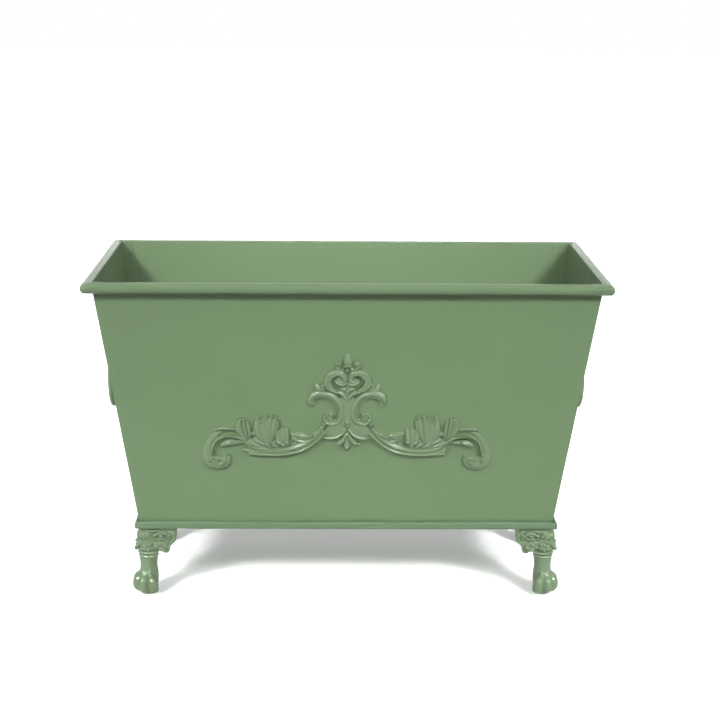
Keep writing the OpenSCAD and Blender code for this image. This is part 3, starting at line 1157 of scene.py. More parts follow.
@dataclass
class BaseBand:
    """Moulded strip round the walls' foot: thin lip, quarter round and upright face, tacked on."""

    shop: Workshop
    box: BoxShape
    # Radius of the lower edge, gauge of the lip, and the open seam between the lip and the wall
    edge: float = 2.4
    lip: float = 0.8
    seam: float = 2.5
    quarter_fall: float = 2.2
    # Share of the height over which the strip's back touches the wall
    closed_share: float = 0.2
    tacks: tuple[float, ...] = (-177.0, -106.0, -57.0, 50.0, 104.0, 162.0)
    tack_radii: tuple[float, float, float] = (2.2, 0.8, 1.0)
    # How far a tack's middle stands out of the wall
    tack_proud: float = 0.35
    tack_end_gap: float = 20.0
    # Painted shade: the band's paint is a darker copy of the walls', so that its upright face, which takes
    # more lamp light, shows as dark as the walls
    finish: SprayedEnamel = SprayedEnamel(
        "sprayed_enamel_on_band", colour="#60765A", shade="#5A7054", sway_mm=60.0, sway_depth_mm=0.1
    )

    def section(self) -> list[tuple[float, float]]:
        """Draws the strip's cross-section, with a seam behind the lip.

        Returns:
            (outward from the wall's foot, up) points.
        """
        height, lean, reach = self.box.band_height, self.box.lean_run, self.box.band_reach
        back = height * lean + self.box.seat + self.seam
        lip_r = self.lip / 2
        closed = height * self.closed_share
        lip_arc = [
            (back + lip_r * (1 + math.sin(a)), height - lip_r * (1 - math.cos(a)))
            for a in (math.radians(d) for d in range(-90, 91, 30))
        ]
        run, fall = reach - back - self.lip, self.quarter_fall
        quarter_round = [
            (reach - run * (1 - math.cos(a)), height - lip_r - fall * (1 - math.sin(a)))
            for a in (math.radians(d) for d in range(75, -1, -15))
        ]
        lower_edge = [
            (reach - self.edge * (1 - math.cos(a)), self.edge * (1 - math.sin(a)))
            for a in (math.radians(d) for d in range(0, 91, 15))
        ]
        foot = [(self.box.seat, 0.0), (closed * lean + self.box.seat, closed)]
        return [*foot, *lip_arc, *quarter_round, *lower_edge]

    def strip(self, side: Side) -> bmesh.types.BMesh:
        """One strip with its tacks, made as the front one.

        Args:
            side: The side that it is for.

        Returns:
            The strip's mesh.
        """
        foot_y = self.box.half(side.span, self.box.foot_height)
        bm = bmesh.new()
        outline = [
            Vector((-side.half_run, -foot_y - out, self.box.foot_height + up))
            for out, up in self.section()
        ]
        plate(bm, outline, Vector((2 * side.half_run, 0, 0)))
        bmesh.ops.recalc_face_normals(bm, faces=bm.faces)
        mitre(bm, side)
        top_z = self.box.foot_height + self.box.band_height
        top_y = -self.box.half(side.span, top_z) - self.tack_proud
        for place in self.tacks:
            if abs(place) < side.half_run - self.tack_end_gap:
                lay_weld(bm, self.tack_radii, (place, top_y, top_z))
        return bm

    def build(self) -> None:
        """Builds the four strips."""
        material = self.finish.make()
        for side in self.box.sides(*self.box.band_half):
            bm = self.strip(side)
            side.turn_piece(bm)
            self.shop.publish(f"base_band_{side.name}", bm, material, Slot.WALL, (f"band_{side.name}",))


# ---------------------------------------------------------------- castings

# Scrollwork: (across, up the wall, width) from where the arms spring. The left half is
# given, and the right half mirrors it.
CREST_MIDDLE = (
    # webs that fill the ground between the straps
    Stroke(4.2, ((0, 44, 8), (0, 36, 16), (0, 24, 20), (0, 12, 20), (0, 2, 20), (0, -6, 12)), crown=5),
    Stroke(3.8, ((0, 42, 8), (0, 47, 22), (0, 53, 32), (0, 60, 32), (0, 66, 20)), crown=6),
    Stroke(3.6, ((0, -8, 6), (0, -16, 13), (0, -22, 14), (0, -27, 8)), crown=4),
    # bud, its collar, the stem and the drop
    Stroke(5, ((0, 74, 8), (0, 80, 12.6), (0, 85.5, 11), (0, 89.6, 6.4), (0, 92, 2))),
    Stroke(5.8, ((0, 66, 8), (0, 71, 10), (0, 77, 8))),
    Stroke(
        5.4,
        ((0, 54, 2.6), (0, 44.3, 4.4), (0, 36, 5), (0, 24.5, 4), (0, 12, 4), (0, 4, 6), (0, -4, 5)),
    ),
    Stroke(
        5.8,
        ((0, -13, 3), (0, -18, 4.6), (0, -23, 7.6), (0, -27, 8.4), (0, -30.6, 6.6), (0, -33.4, 2.8)),
    ),
)
CREST_HALF = (
    Stroke(6, ((-3.5, 69.5, 5), (-9.6, 72.6, 7), (-12.6, 76.4, 6.6), (-10.6, 80.4, 4))),
    Stroke(
        7.4,
        (
            (-2, 42.6, 4), (-10.5, 43, 4.8), (-17.6, 46, 7.2), (-22.2, 50.4, 9.8), (-23.8, 56.4, 10.4),
            (-20.8, 63.2, 9.8), (-13.8, 67.2, 8.6), (-7, 65.8, 8.8), (-3.6, 60.4, 7.4), (-4.8, 56, 6),
            (-9.2, 55, 5), (-13.2, 57.2, 3),
        ),
        flutes=(0.05,),
        depth=0.12,
        crown=2.4,
    ),
    Stroke(7.4, ((-13.8, 56.6, 2), (-10.6, 53.8, 3.2), (-5.4, 52.4, 3.4), (-0.4, 54.4, 2.6))),
    # forked leaf above the hook
    Stroke(5.6, ((-27, 41.5, 5), (-32.4, 45.6, 9), (-35.6, 49.4, 7.4), (-37.2, 54, 3.4))),
    Stroke(6.2, ((-26, 43, 5), (-29.4, 47.4, 8), (-29.8, 51, 6.6), (-28.6, 54.4, 3.2))),
    Stroke(5, ((-28, 42, 7), (-32.2, 46.4, 13), (-33, 50.6, 11)), crown=4),
    Stroke(
        7.2,
        (
            (-39.4, 24.4, 3.8), (-42.2, 29.6, 7.8), (-41, 36.4, 10.8), (-33.8, 39.8, 10.6),
            (-24.2, 39.8, 9.4), (-15.6, 35.8, 9.2), (-9.8, 28.4, 8.8), (-7.2, 18, 8.2), (-8.4, 9.6, 8.4),
            (-13.4, 3.8, 7.2), (-20, 2.2, 6), (-25.8, 5.2, 5.2), (-26.4, 10.8, 4.8), (-23, 14.8, 4.6),
            (-18.4, 14.8, 4.2), (-16.6, 11.6, 3.4), (-19.6, 9.2, 2.6),
        ),
        flutes=(-0.45,),
        depth=0.34,
        crown=2.4,
    ),
    Stroke(4.6, ((-25.6, 7, 6), (-21, 9, 10), (-15.6, 10.6, 6)), crown=4),
    Stroke(7, ((-1.5, 33, 3), (-4.5, 38.8, 4.6), (-9.6, 42.2, 4.8), (-14, 44, 3.2)), flutes=(0,), depth=0.2),
    Stroke(6.8, ((-0.8, 43, 3), (-4, 46.6, 4), (-8.5, 46.2, 2.6))),
    # skirt petal with its rolled lower edge
    Stroke(
        4.6,
        ((-1, 0, 9), (-7, -3, 16), (-14, -5.4, 19), (-21, -8, 16), (-28.6, -13, 6)),
        crown=5,
    ),
    Stroke(6.8, ((-1, -4, 2.4), (-6.2, -11, 3.8), (-14, -15.2, 4.6), (-22, -16.6, 4), (-29.6, -15.2, 2))),
    Stroke(
        6,
        ((-1, -10, 4), (-3.8, -16.6, 6), (-7.4, -21.6, 7), (-11.4, -24, 5.6), (-15, -22.8, 3)),
    ),
)
CREST_MIDDLE_BEADS = (Bead(0, 4.6, 2.4, 5.6), Bead(0, 72.4, 2.1, 6.2), Bead(0, -28.4, 2.4, 5.2))
CREST_HALF_BEADS = (
    Bead(-10.6, 79.2, 2.5, 6.4),
    Bead(-2.8, 76.6, 2.1, 6.6),
    Bead(-6.0, 73.4, 2.0, 6.6),
    Bead(-13.4, 43.8, 2.2, 7.4),
    Bead(-29.6, 51.6, 2.2, 6.0),
    Bead(-18.7, 14.9, 2.2, 6.2),
    Bead(-25.6, 7.4, 1.9, 6.4),
    Bead(-14.2, 8.6, 1.8, 6.6),
    Bead(-13.2, -22.8, 2.2, 5.0),
)
SPRAY = (
    # webs under the leaves, between the ribs and in the volute
    Stroke(4, ((-116.5, -21, 8), (-119.5, -12, 12), (-122, -3, 16), (-122.8, 4, 12)), crown=4),
    Stroke(
        4.8,
        ((-94, -28, 10), (-96.8, -18, 15), (-96.4, -6, 23), (-94.8, 3, 25), (-93.6, 7.6, 18)),
        crown=5,
    ),
    Stroke(4, ((-78, -28, 8), (-77.4, -18, 13), (-76.6, -9, 14), (-76.4, -5, 11)), crown=4),
    Stroke(3.8, ((-119, -25, 5), (-107, -21, 13), (-98, -23, 13), (-84, -25, 10), (-74, -27, 6)), crown=4),
    Stroke(4.8, ((-163, -42, 6), (-157, -45.6, 12), (-150, -46.4, 12), (-143.6, -42.6, 7)), crown=3),
    Stroke(3.4, ((-40, -17, 5), (-50, -21, 9), (-60, -24, 9), (-68, -26.4, 6)), crown=4),
    Stroke(
        4.4,
        (
            (-27, -4.4, 7), (-35, -14.6, 8), (-44.4, -23, 8.6), (-60, -31.4, 9), (-75, -34.2, 9),
            (-91, -34.8, 9), (-107, -33, 9), (-117, -29.6, 8),
        ),
        crown=5,
    ),
    # the arm's broad strap and the rib under it
    Stroke(
        6.4,
        (
            (-28.4, -0.6, 5), (-36, -12, 5.6), (-44, -19.8, 6), (-53, -25.4, 6.2), (-62, -28.8, 6.2),
            (-76, -31.6, 6.2), (-90, -32.2, 6), (-102, -30.4, 5.6), (-110, -28, 5), (-117.4, -22.8, 4.2),
        ),
        crown=2.6,
    ),
    Stroke(
        6.8,
        (
            (-25, -9, 3.2), (-34, -17.6, 3.8), (-45, -26.8, 4), (-59, -34, 4.2), (-73, -36.8, 4.2),
            (-91, -37.6, 4.2), (-107.5, -36.4, 3.8), (-117, -34.8, 2.6),
        ),
    ),
    # the volute: its thin inner rim, broad crescent, curled end and the tongue over it
    Stroke(
        7.4,
        (
            (-110, -29.4, 2.8), (-116, -23.4, 3.2), (-122.6, -18.2, 3.4), (-129, -14.8, 3.4),
            (-136, -13.2, 3.4), (-143.6, -12.8, 3.4), (-149.8, -15.2, 3.4), (-155.6, -20.4, 3.4),
            (-158.8, -28.4, 3.2), (-160.2, -35, 3), (-163, -39, 2.2),
        ),
    ),
    Stroke(
        5.8,
        (
            (-146, -9, 3), (-153.4, -11, 6), (-159.6, -17, 8.6), (-164.6, -27, 10.6),
            (-166.2, -37.2, 12.2), (-164, -45, 13.2), (-159, -50, 13.6), (-152.4, -51.4, 12),
            (-145.6, -50.2, 10.4), (-141.4, -46, 7.8), (-139.8, -41.4, 5), (-141, -38, 3),
        ),
        crown=2.6,
    ),
    Stroke(7, ((-163.6, -43.6, 2.4), (-158, -40.8, 3.6), (-152.8, -43.2, 3.8), (-151.4, -48, 4.2))),
    Stroke(6.6, ((-150.6, -50.6, 2.6), (-145.4, -47.6, 3.6), (-142.4, -42.6, 3.2))),
    Stroke(5.4, ((-131, -5.2, 3), (-139, -4, 4.4), (-147, -4.2, 4), (-154.4, -5.6, 2.6))),
    # leaves over the arm, outer to inner
    Stroke(
        6.2,
        (
            (-118.5, -18, 4), (-124, -11, 7), (-127.6, -4, 8.2), (-128.2, 2.5, 7.4), (-126.6, 7, 5),
            (-124.8, 9.8, 2.6),
        ),
        flutes=(-0.2,),
        depth=0.2,
        crown=2.6,
    ),
    Stroke(
        6.8,
        ((-117, -18, 3), (-119.4, -10, 4.6), (-121.2, -2, 5), (-122, 4.6, 4.6), (-121.8, 9.8, 2.8)),
    ),
    Stroke(6, ((-115, -17, 3.4), (-115.4, -9, 5.2), (-116.2, -2, 5.6), (-117.4, 3, 5), (-119.2, 7, 3))),
    Stroke(
        6.2,
        (
            (-97, -25, 5), (-101.6, -15, 8.4), (-105.2, -6, 9.6), (-106.4, 1, 8.2), (-105.8, 6.4, 6),
            (-104.4, 9.6, 4.2), (-102.6, 10.4, 2.4),
        ),
        crown=3,
    ),
    Stroke(
        7,
        (
            (-95, -25, 5), (-97.6, -14, 8.4), (-99.2, -5, 9.4), (-98.6, 2, 8.2), (-97.2, 7, 6),
            (-95.6, 10.4, 4.2), (-93.8, 10.8, 2.4),
        ),
        crown=3,
    ),
    Stroke(
        7.4,
        (
            (-93, -25, 5), (-93.8, -14, 8), (-93.4, -4, 9.4), (-92, 4, 8.2), (-90.8, 9, 6),
            (-89.4, 12.4, 4.4), (-87.4, 13, 2.4),
        ),
        crown=3,
    ),
    Stroke(
        6.8,
        (
            (-91, -23, 4), (-89.6, -13, 6.4), (-87.4, -5, 8), (-85.8, 3, 7.2), (-84.8, 8, 5.4),
            (-83.4, 11.2, 4), (-81.6, 11.4, 2.4),
        ),
        crown=3,
    ),
    Stroke(5.6, ((-90, -20, 4), (-86.8, -12, 5.6), (-83.8, -5, 5.8), (-81.8, 1.4, 4.6), (-80.6, 7, 2.6))),
    Stroke(5.4, ((-80, -27, 4), (-82, -18, 6), (-82, -10, 6.4), (-80.8, -4.4, 4)), crown=2.6),
    Stroke(6, ((-77, -27, 4.6), (-76.8, -17, 7), (-76.2, -8, 7.6), (-76, -2.2, 4)), crown=2.6),
    Stroke(5.4, ((-74, -26, 4), (-72, -17, 6), (-70.8, -9, 6), (-70.8, -2.8, 3.4)), crown=2.6),
    # ear between the two big leaves, and the lapped ribs where the leaves spring
    Stroke(6.6, ((-115.2, -12.8, 2.4), (-112, -9.6, 4.4), (-108.6, -11.2, 4.4), (-105.6, -15.4, 2.4))),
    Stroke(6.6, ((-117, -20.4, 2.4), (-109.6, -24.4, 3.2), (-101.8, -27.4, 2.4))),
    Stroke(6.4, ((-112, -16.4, 2.2), (-105, -20.6, 3), (-97, -25.6, 2.2))),
    Stroke(8, ((-98, -21.6, 2), (-94, -24.8, 3.2), (-89.4, -28.6, 2))),
    Stroke(8, ((-90.4, -21.6, 2), (-86.2, -24.8, 3.2), (-81.2, -28.4, 2))),
    Stroke(6.8, ((-83.5, -19.6, 2.2), (-79.5, -22.4, 3), (-74.5, -26, 2.2))),
    # bud leaf and small leaf towards the middle
    Stroke(
        5.8,
        ((-46, -16, 4), (-52, -14.4, 9), (-58.5, -13.8, 10.6), (-63.6, -12.2, 7), (-67.4, -9.8, 2.4)),
        flutes=(0.15,),
        depth=0.28,
    ),
    Stroke(5.2, ((-50, -21.4, 3.5), (-57, -19.8, 5), (-62.5, -17.6, 4.4), (-66, -15, 2.2))),
    Stroke(6.6, ((-34.6, -7.4, 2.6), (-38.6, -10.8, 4.6), (-42.6, -13.4, 4.4), (-47.5, -16.4, 2.4))),
    # leaf under the volute and the spikes beside it
    Stroke(
        5.6,
        (
            (-119.5, -21.4, 3.5), (-128, -21.4, 6), (-136, -22, 8.4), (-142.5, -23.4, 8.8),
            (-147, -26, 6), (-146.6, -29, 2.6),
        ),
        crown=2.4,
    ),
    Stroke(7, ((-133, -21.4, 2.2), (-138.4, -22, 3.2), (-144.4, -25, 2.2))),
    Stroke(4.4, ((-105, -34.5, 3.5), (-115.5, -33.2, 4), (-125.8, -31, 2.4))),
)
SPRAY_BEADS = (
    Bead(-162.2, -44.8, 2.1, 6.8),
    Bead(-149.8, -48.4, 2.8, 6.8),
    Bead(-140.8, -39.8, 2.3, 4.8),
    Bead(-153.0, -42.8, 1.9, 6.8),
    Bead(-155.0, -5.0, 1.8, 4.2),
    Bead(-136.0, -19.4, 1.7, 6.0),
    Bead(-125.0, 8.6, 1.7, 5.6),
    Bead(-121.6, 9.0, 1.7, 6.2),
    Bead(-104.4, 10.0, 1.7, 5.4),
    Bead(-101.0, 6.2, 2.0, 5.6),
    Bead(-95.2, 10.8, 1.9, 6.0),
    Bead(-89.0, 13.0, 1.9, 6.0),
    Bead(-83.2, 11.4, 1.7, 5.6),
    Bead(-71.2, -20.6, 2.3, 5.8),
    Bead(-75.4, -24.6, 1.9, 6.8),
    Bead(-62.2, -22.4, 1.7, 4.4),
    Bead(-55.0, -13.6, 1.9, 5.6),
    Bead(-27.6, 2.2, 2.2, 5.6),
    Bead(-39.4, -11.0, 2.6, 5.2),
    Bead(-114.2, -36.6, 2.4, 3.6),
)


@dataclass
class Scrollwork:
    """Cast scrollwork pinned on the front wall: a crest and two acanthus arms."""

    shop: Workshop
    box: BoxShape
    finish: bpy.types.Material
    spring_z: float = 219.7
    voxel: float = 0.5
    relief: float = 0.84

    def bed(self) -> FlatBed:
        """The front wall's outer face, from the point where the arms spring.

        Returns:
            The bed, on which a height of 1 stands for the carving's relief.
        """
        tilt = math.radians(90 + self.box.lean)
        return FlatBed(
            origin=Vector((0, -self.box.half(self.box.rim_depth, self.spring_z), self.spring_z)),
            across=Vector((1, 0, 0)),
            up=Vector((0, math.cos(tilt), math.sin(tilt))),
            out=self.relief * Vector((0, -math.sin(tilt), math.cos(tilt))),
        )

    def cast(
        self,
        name: str,
        parts: Iterable[tuple[Iterable[Stroke], Iterable[Bead], tuple[int, ...]]],
        node: str,
    ) -> None:
        """Casts one ornament.

        Args:
            name: The piece's name.
            parts: Straps and beads with the signs they are laid at.
            node: The solid that it stands for.
        """
        bm, bed = bmesh.new(), self.bed()
        for strokes, beads, signs in parts:
            for sign in signs:
                for stroke in strokes:
                    lay_stroke(bm, stroke, bed, sign)
                for bead in beads:
                    lay_bead(bm, bead, bed, sign)
        bmesh.ops.recalc_face_normals(bm, faces=bm.faces)
        cast = fused(bm, self.voxel)
        measure_cavity(cast)
        self.shop.publish(name, cast, self.finish, Slot.CASTING, (node,), crease=180)

    def build(self) -> None:
        """Casts the crest and both arms."""
        both = (Hand.LEFT.value, Hand.RIGHT.value)
        crest = (
            (CREST_MIDDLE, CREST_MIDDLE_BEADS, (1,)),
            (CREST_HALF, CREST_HALF_BEADS, both),
        )
        self.cast("scroll_crest", crest, "crest")
        self.cast("scroll_arm_left", ((SPRAY, SPRAY_BEADS, (1,)),), "spray_left")
        self.cast("scroll_arm_right", ((SPRAY, SPRAY_BEADS, (-1,)),), "spray_right")


@dataclass(frozen=True)
class LegBed:
    """A turned leg's skin: across is along its girth, and 0 is the outward diagonal."""

    axis: tuple[float, float]
    profile: tuple[tuple[float, float], ...]
    girth_radius: float = 13.4

    def radius(self, z: float) -> float:
        """The leg's radius at a height.

        Args:
            z: The height.

        Returns:
            The radius, which past the leg's ends is that of the end.
        """
        for (r_high, high), (r_low, low) in zip(self.profile, self.profile[1:]):
            if low <= z <= high and high > low:
                return r_low + (r_high - r_low) * (z - low) / (high - low)
        return self.profile[-1][0] if z < self.profile[-1][1] else self.profile[0][0]

    def at(self, across: float, up: float, height: float) -> Vector:
        """The point at a place on the skin, a height above it.

        Args:
            across: Distance along the girth from the outward diagonal.
            up: Height above the floor.
            height: Distance out from the skin.

        Returns:
            The point.
        """
        angle = math.radians(OUTWARD) + across / self.girth_radius
        reach = self.radius(up) + height
        return Vector(
            (self.axis[0] + reach * math.cos(angle), self.axis[1] + reach * math.sin(angle), up)
        )


# Locks, brow and cheeks on the knee: (along the girth, up, width), mirrored about the diagonal
KNEE_HALF = (
    Stroke(2.6, ((2.6, 70.2, 2), (2.2, 73.2, 3), (1.2, 76.4, 3), (0.4, 78.6, 2))),
    Stroke(2.6, ((6, 70, 2), (5.6, 73.2, 3), (4.6, 76.6, 3), (3.8, 79, 2))),
    Stroke(2.6, ((9.4, 71, 2), (9, 74.2, 3), (8, 77.4, 3), (7.2, 79.6, 2))),
    Stroke(2.4, ((12.8, 73, 2), (12.4, 75.6, 2.8), (11.6, 78.2, 2.8), (11, 80, 2))),
    Stroke(2.4, ((-1, 60.6, 9), (8, 61.2, 11), (15, 62, 11.5), (22, 61.6, 10)), crown=3.4),
    Stroke(3.2, ((1, 66, 2), (6, 67.4, 2.8), (10, 67.6, 2))),
)
KNEE_BEADS = (
    Bead(14.6, 74.4, 1.7, 1.2),
    Bead(11.2, 65.4, 1.9, 2.4, 0.8),
    Bead(14.8, 65.2, 1.9, 2.6, 1.1),
    Bead(2.6, 58.4, 1.8, 2.2),
    Bead(6.8, 59.0, 2.0, 2.4, 0.8),
    Bead(10.8, 57.2, 1.7, 2.2),
    Bead(7.6, 62.6, 1.6, 2.6, 0.7),
)
# Turned rings under the knee: (leg's radius, height, ring's own radius)
KNEE_RINGS = ((11.6, 52.2, 1.5), (11.2, 47.8, 1.1))
# Leaf that curls over the brow: (reach from the leg's axis, height, radius)
BROW_CURL = ((9, 66.5, 3.4), (13.0, 65.0, 3.2), (16.0, 63.0, 2.6), (18.4, 61.8, 2.2), (19.0, 60.4, 2.0))
# Wing's carving: (along the base, height, width)
WING = (
    # cheek that runs on from the knee to the lower lobe
    Stroke(3, ((18, 61.6, 11), (26, 62, 11.5), (33, 59.4, 10.5), (37.4, 56.4, 8)), crown=3),
    # lids round the eye-shaped hollow, and the curl beyond it
    Stroke(3, ((22.4, 72.4, 2), (26.4, 76.6, 3), (31.6, 78.4, 3.4), (36.6, 76, 3), (39.4, 72, 2))),
    Stroke(2.8, ((21.6, 71.4, 2), (26.6, 70, 3), (32.4, 70.2, 3), (37, 72, 2))),
    Stroke(3.2, ((38.6, 80, 3), (43.6, 78.4, 5), (46.6, 73, 5.6), (44.4, 67.6, 5), (40, 66, 3))),
    Stroke(2.4, ((17, 80.4, 2.4), (23, 80.6, 3.2), (29, 81.2, 2.4))),
    Stroke(2.6, ((40, 76, 2), (41.4, 72.6, 2.8), (40.2, 69.6, 2))),
)
WING_BEADS = (
    Bead(30.8, 74.0, 3.3, 0.5, 0.8),
    Bead(41.0, 76.0, 1.7, 2.8),
    Bead(22.6, 74.6, 1.8, 2.0),
    Bead(29.6, 64.2, 1.9, 3.2, 0.8),
    Bead(29.0, 58.4, 1.7, 3.2),
    Bead(24.2, 60.8, 1.6, 3.2),
    Bead(36.0, 60.4, 1.7, 3.0),
)
# Tufts over the paw: angle from the outward diagonal in degrees, and height. Each is a short
# lock of (reach from the leg's axis, height from its middle, radius) points
TUFTS = ((-56, 24), (-34, 25.5), (-11, 24.5), (11, 25.5), (34, 24.5), (56, 27))
TUFT_LOCK = ((9, 3.4, 1.4), (10.8, 0, 2.2), (12.8, -3.4, 1.5))


@dataclass
class ClawFeet:
    """Four cast claw feet: a leafy knee with two scrolled wings, a slim ankle and a paw."""

    shop: Workshop
    box: BoxShape
    finish: bpy.types.Material
    ankle_inset: float = 14.5
    ankle_radius: float = 10.4
    paw_inset: float = 15.0
    paw_radius: float = 13.0
    paw_offset: float = 3.2
    paw_top: float = 25.2
    base_radius: float = 10.8
    wing_length: float = 51.0
    wing_gauge: float = 8.0
    wing_setback: float = 3.5
    # A wing's flat lies this deep under its carved face, and stops this short of its back
    wing_sunk: float = 1.9
    wing_back_gap: float = 0.3
    toe_spread: float = 64.0
    toes: int = 4
    # L-shaped plate that bears on the box, and the square boss round the screw
    pad_gauge: float = 4.6
    pad_inset: float = 5.4
    pad_end_gap: float = 1.4
    pad_corner_cut: float = 5.0
    pad_leg_gap: float = 1.6
    boss_inset: float = 3.0
    boss_reach: float = 33.0
    boss_height: float = 12.0
    bearing_gap: float = 0.1
    voxel: float = 0.6

    def leg_profile(self) -> tuple[tuple[float, float], ...]:
        """Draws the leg's profile, from the pad down into the paw.

        Returns:
            (radius, height) points.
        """
        top, ankle = self.box.foot_height, self.ankle_radius
        return (
            (9.8, top - 2.2),
            (11.0, 77.0),
            (12.0, 71.0),
            (12.2, 65.0),
            (11.8, 58.0),
            (11.6, 53.0),
            (11.2, 49.0),
            (11.0, 44.0),
            (ankle, 40.0),
            (ankle - 0.2, 35.0),
            (ankle + 0.2, 30.5),
            (ankle + 1.0, 26.0),
            (ankle + 1.2, 19.0),
            (ankle + 0.6, 10.0),
        )

    def outline(self) -> list[tuple[float, float]]:
        """Draws a wing's outline.

        Returns:
            (along the base, height) points.
        """
        top, length = self.box.foot_height - 1.2, self.wing_length
        lobe_x, lobe_z = length - 14.5, self.box.foot_height - 28
        lobe = [
            (lobe_x + 4.6 * math.cos(a), lobe_z + 4.4 * math.sin(a))
            for a in (math.radians(d) for d in range(0, -181, -20))
        ]
        return [
            (self.ankle_inset - 4, top),
            (length - 0.6, top),
            (length - 1.0, top - 9),
            (length - 2.2, top - 14.5),
            (length - 5.4, top - 18),
            (length - 9.2, top - 22),
            *lobe,
            (self.ankle_inset + self.ankle_radius + 3.6, self.box.foot_height - 27.5),
            (self.ankle_inset + self.ankle_radius - 1, 47.0),
            (self.ankle_inset - 4, 47.0),
        ]

    def wing(self, bm: bmesh.types.BMesh, swap: bool) -> None:
        """One wing with its scrolls.

        Args:
            bm: The mesh that gets it.
            swap: True for the wing along Y, which mirrors the one along X.
        """
        face_y = self.wing_setback + self.wing_sunk

        def turned(point: Vector) -> Vector:
            """Swaps x and y for the wing along Y."""
            return Vector((point.y, point.x, point.z)) if swap else point

        rim = [turned(Vector((x, face_y, z))) for x, z in self.outline()]
        depth = self.wing_gauge - self.wing_sunk - self.wing_back_gap
        plate(bm, rim, turned(Vector((0, depth, 0))))
        bed = FlatBed(
            origin=turned(Vector((0, face_y, 0))),
            across=turned(Vector((1, 0, 0))),
            up=Vector((0, 0, 1)),
            out=turned(Vector((0, -1, 0))),
        )
        for stroke in WING:
            lay_stroke(bm, stroke, bed)
        for bead in WING_BEADS:
            lay_bead(bm, bead, bed)

    def toe(self, bm: bmesh.types.BMesh, angle: float) -> None:
        """One toe, from the top of the paw over two knuckles to its pad.

        Args:
            bm: The mesh that gets it.
            angle: Its direction, in radians.
        """
        path = (
            (8.4, self.paw_top - 0.6, 3.6),
            (11.4, self.paw_top - 4.0, 4.4),
            (14.4, self.paw_top - 8.0, 5.8),
            (15.4, 12.4, 5.8), (14.8, 8.8, 5.0), (12.6, 6.2, 4.4), (9.0, 4.4, 4.2),
        )
        string_of_balls(bm, limb((self.paw_inset, self.paw_inset), angle, path))

    def turnings(self, bm: bmesh.types.BMesh, axis: tuple[float, float]) -> None:
        """The leg, the paw's core and the round sole, each turned about an upright axis.

        Args:
            bm: The mesh that gets them.
            axis: The leg's axis.
        """
        leg = self.leg_profile()
        paw, ankle, sole = self.paw_radius, self.ankle_radius, self.base_radius
        core = (
            (0, 1.0),
            (paw - 5, 2.0),
            (paw - 1, 6.0),
            (paw, 10.0),
            (paw, 17.0),
            (paw - 2, self.paw_top - 3.4),
            (ankle - 1, self.paw_top + 1.5),
            (0, self.paw_top + 2.5),
        )
        centre = self.paw_inset - self.paw_offset
        foot = ((0, 0.0), (sole, 0.0), (sole + 0.4, 2.0), (sole + 0.2, 8.0), (sole - 1, 16.0), (0, 20.0))
        turn_profile(bm, [(0, leg[0][1]), *leg, (0, leg[-1][1])], axis)
        turn_profile(bm, core, (centre, centre))
        turn_profile(bm, foot, axis)

    def knee(self, bm: bmesh.types.BMesh, axis: tuple[float, float]) -> None:
        """The rings under the knee, its carved leaves, and the leaf that curls over its brow.

        Args:
            bm: The mesh that gets them.
            axis: The leg's axis.
        """
        for radius, z, bulge in KNEE_RINGS:
            self.ring(bm, axis, radius, z, bulge)
        bed = LegBed(axis, self.leg_profile())
        for sign in (1, -1):
            for stroke in KNEE_HALF:
                lay_stroke(bm, stroke, bed, sign)
            for bead in KNEE_BEADS:
                lay_bead(bm, bead, bed, sign)
        diagonal = Vector((-1, -1, 0)).normalized()
        centre = Vector((*axis, 0))
        string_of_balls(
            bm, [(*(centre + diagonal * reach).xy, z, radius) for reach, z, radius in BROW_CURL]
        )

    def casting(self) -> bmesh.types.BMesh:
        """Casts the front left foot in its corner's frame, where the band's nose is x = 0 and y = 0.

        Returns:
            The casting.
        """
        bm = bmesh.new()
        axis = (self.ankle_inset, self.ankle_inset)
        self.turnings(bm, axis)
        for tilt, top in TUFTS:
            lock = [(reach, top + rise, radius) for reach, rise, radius in TUFT_LOCK]
            string_of_balls(bm, limb(axis, math.radians(OUTWARD + tilt), lock))
        self.knee(bm, axis)
        step = 2 * self.toe_spread / (self.toes - 1)
        for k in range(self.toes):
            self.toe(bm, math.radians(OUTWARD - self.toe_spread + k * step))
        for swap in (False, True):
            self.wing(bm, swap)
        self.pad(bm)
        bmesh.ops.recalc_face_normals(bm, faces=bm.faces)
        cast = fused(bm, self.voxel)
        for vert in cast.verts:
            vert.co.z = max(vert.co.z, 0.0)
        measure_cavity(cast)
        return cast

    def ring(
        self, bm: bmesh.types.BMesh, axis: tuple[float, float], radius: float, z: float, bulge: float
    ) -> None:
        """A turned bead round the leg.

        Args:
            bm: The mesh that gets it.
            axis: The leg's axis.
            radius: The leg's radius there.
            z: Its height.
            bulge: Its own radius.
        """
        turn_profile(
            bm,
            [
                (0, z - bulge),
                (radius - 0.4, z - bulge),
                (radius + bulge * 0.7, z - bulge * 0.5),
                (radius + bulge, z),
                (radius + bulge * 0.7, z + bulge * 0.5),
                (radius - 0.4, z + bulge),
                (0, z + bulge),
            ],
            axis,
        )

    def pad(self, bm: bmesh.types.BMesh) -> None:
        """The plate that bears on the box, with the screw's boss under it.

        Args:
            bm: The mesh that gets it.
        """
        top, low, cut = self.box.foot_height, self.pad_inset, self.pad_corner_cut
        high = self.wing_length - self.pad_end_gap
        leg = self.wing_setback + self.wing_gauge + self.pad_leg_gap
        corner = (
            (low + cut, low),
            (high, low),
            (high, leg),
            (leg, leg),
            (leg, high),
            (low, high),
            (low, low + cut),
        )
        near, far = low + self.boss_inset, self.boss_reach
        square = ((near, near), (far, near), (far, far), (near, far))
        for outline, gauge in ((corner, self.pad_gauge), (square, self.boss_height)):
            sole = [Vector((x, y, top - gauge)) for x, y in outline]
            plate(bm, sole, Vector((0, 0, gauge - self.bearing_gap)))

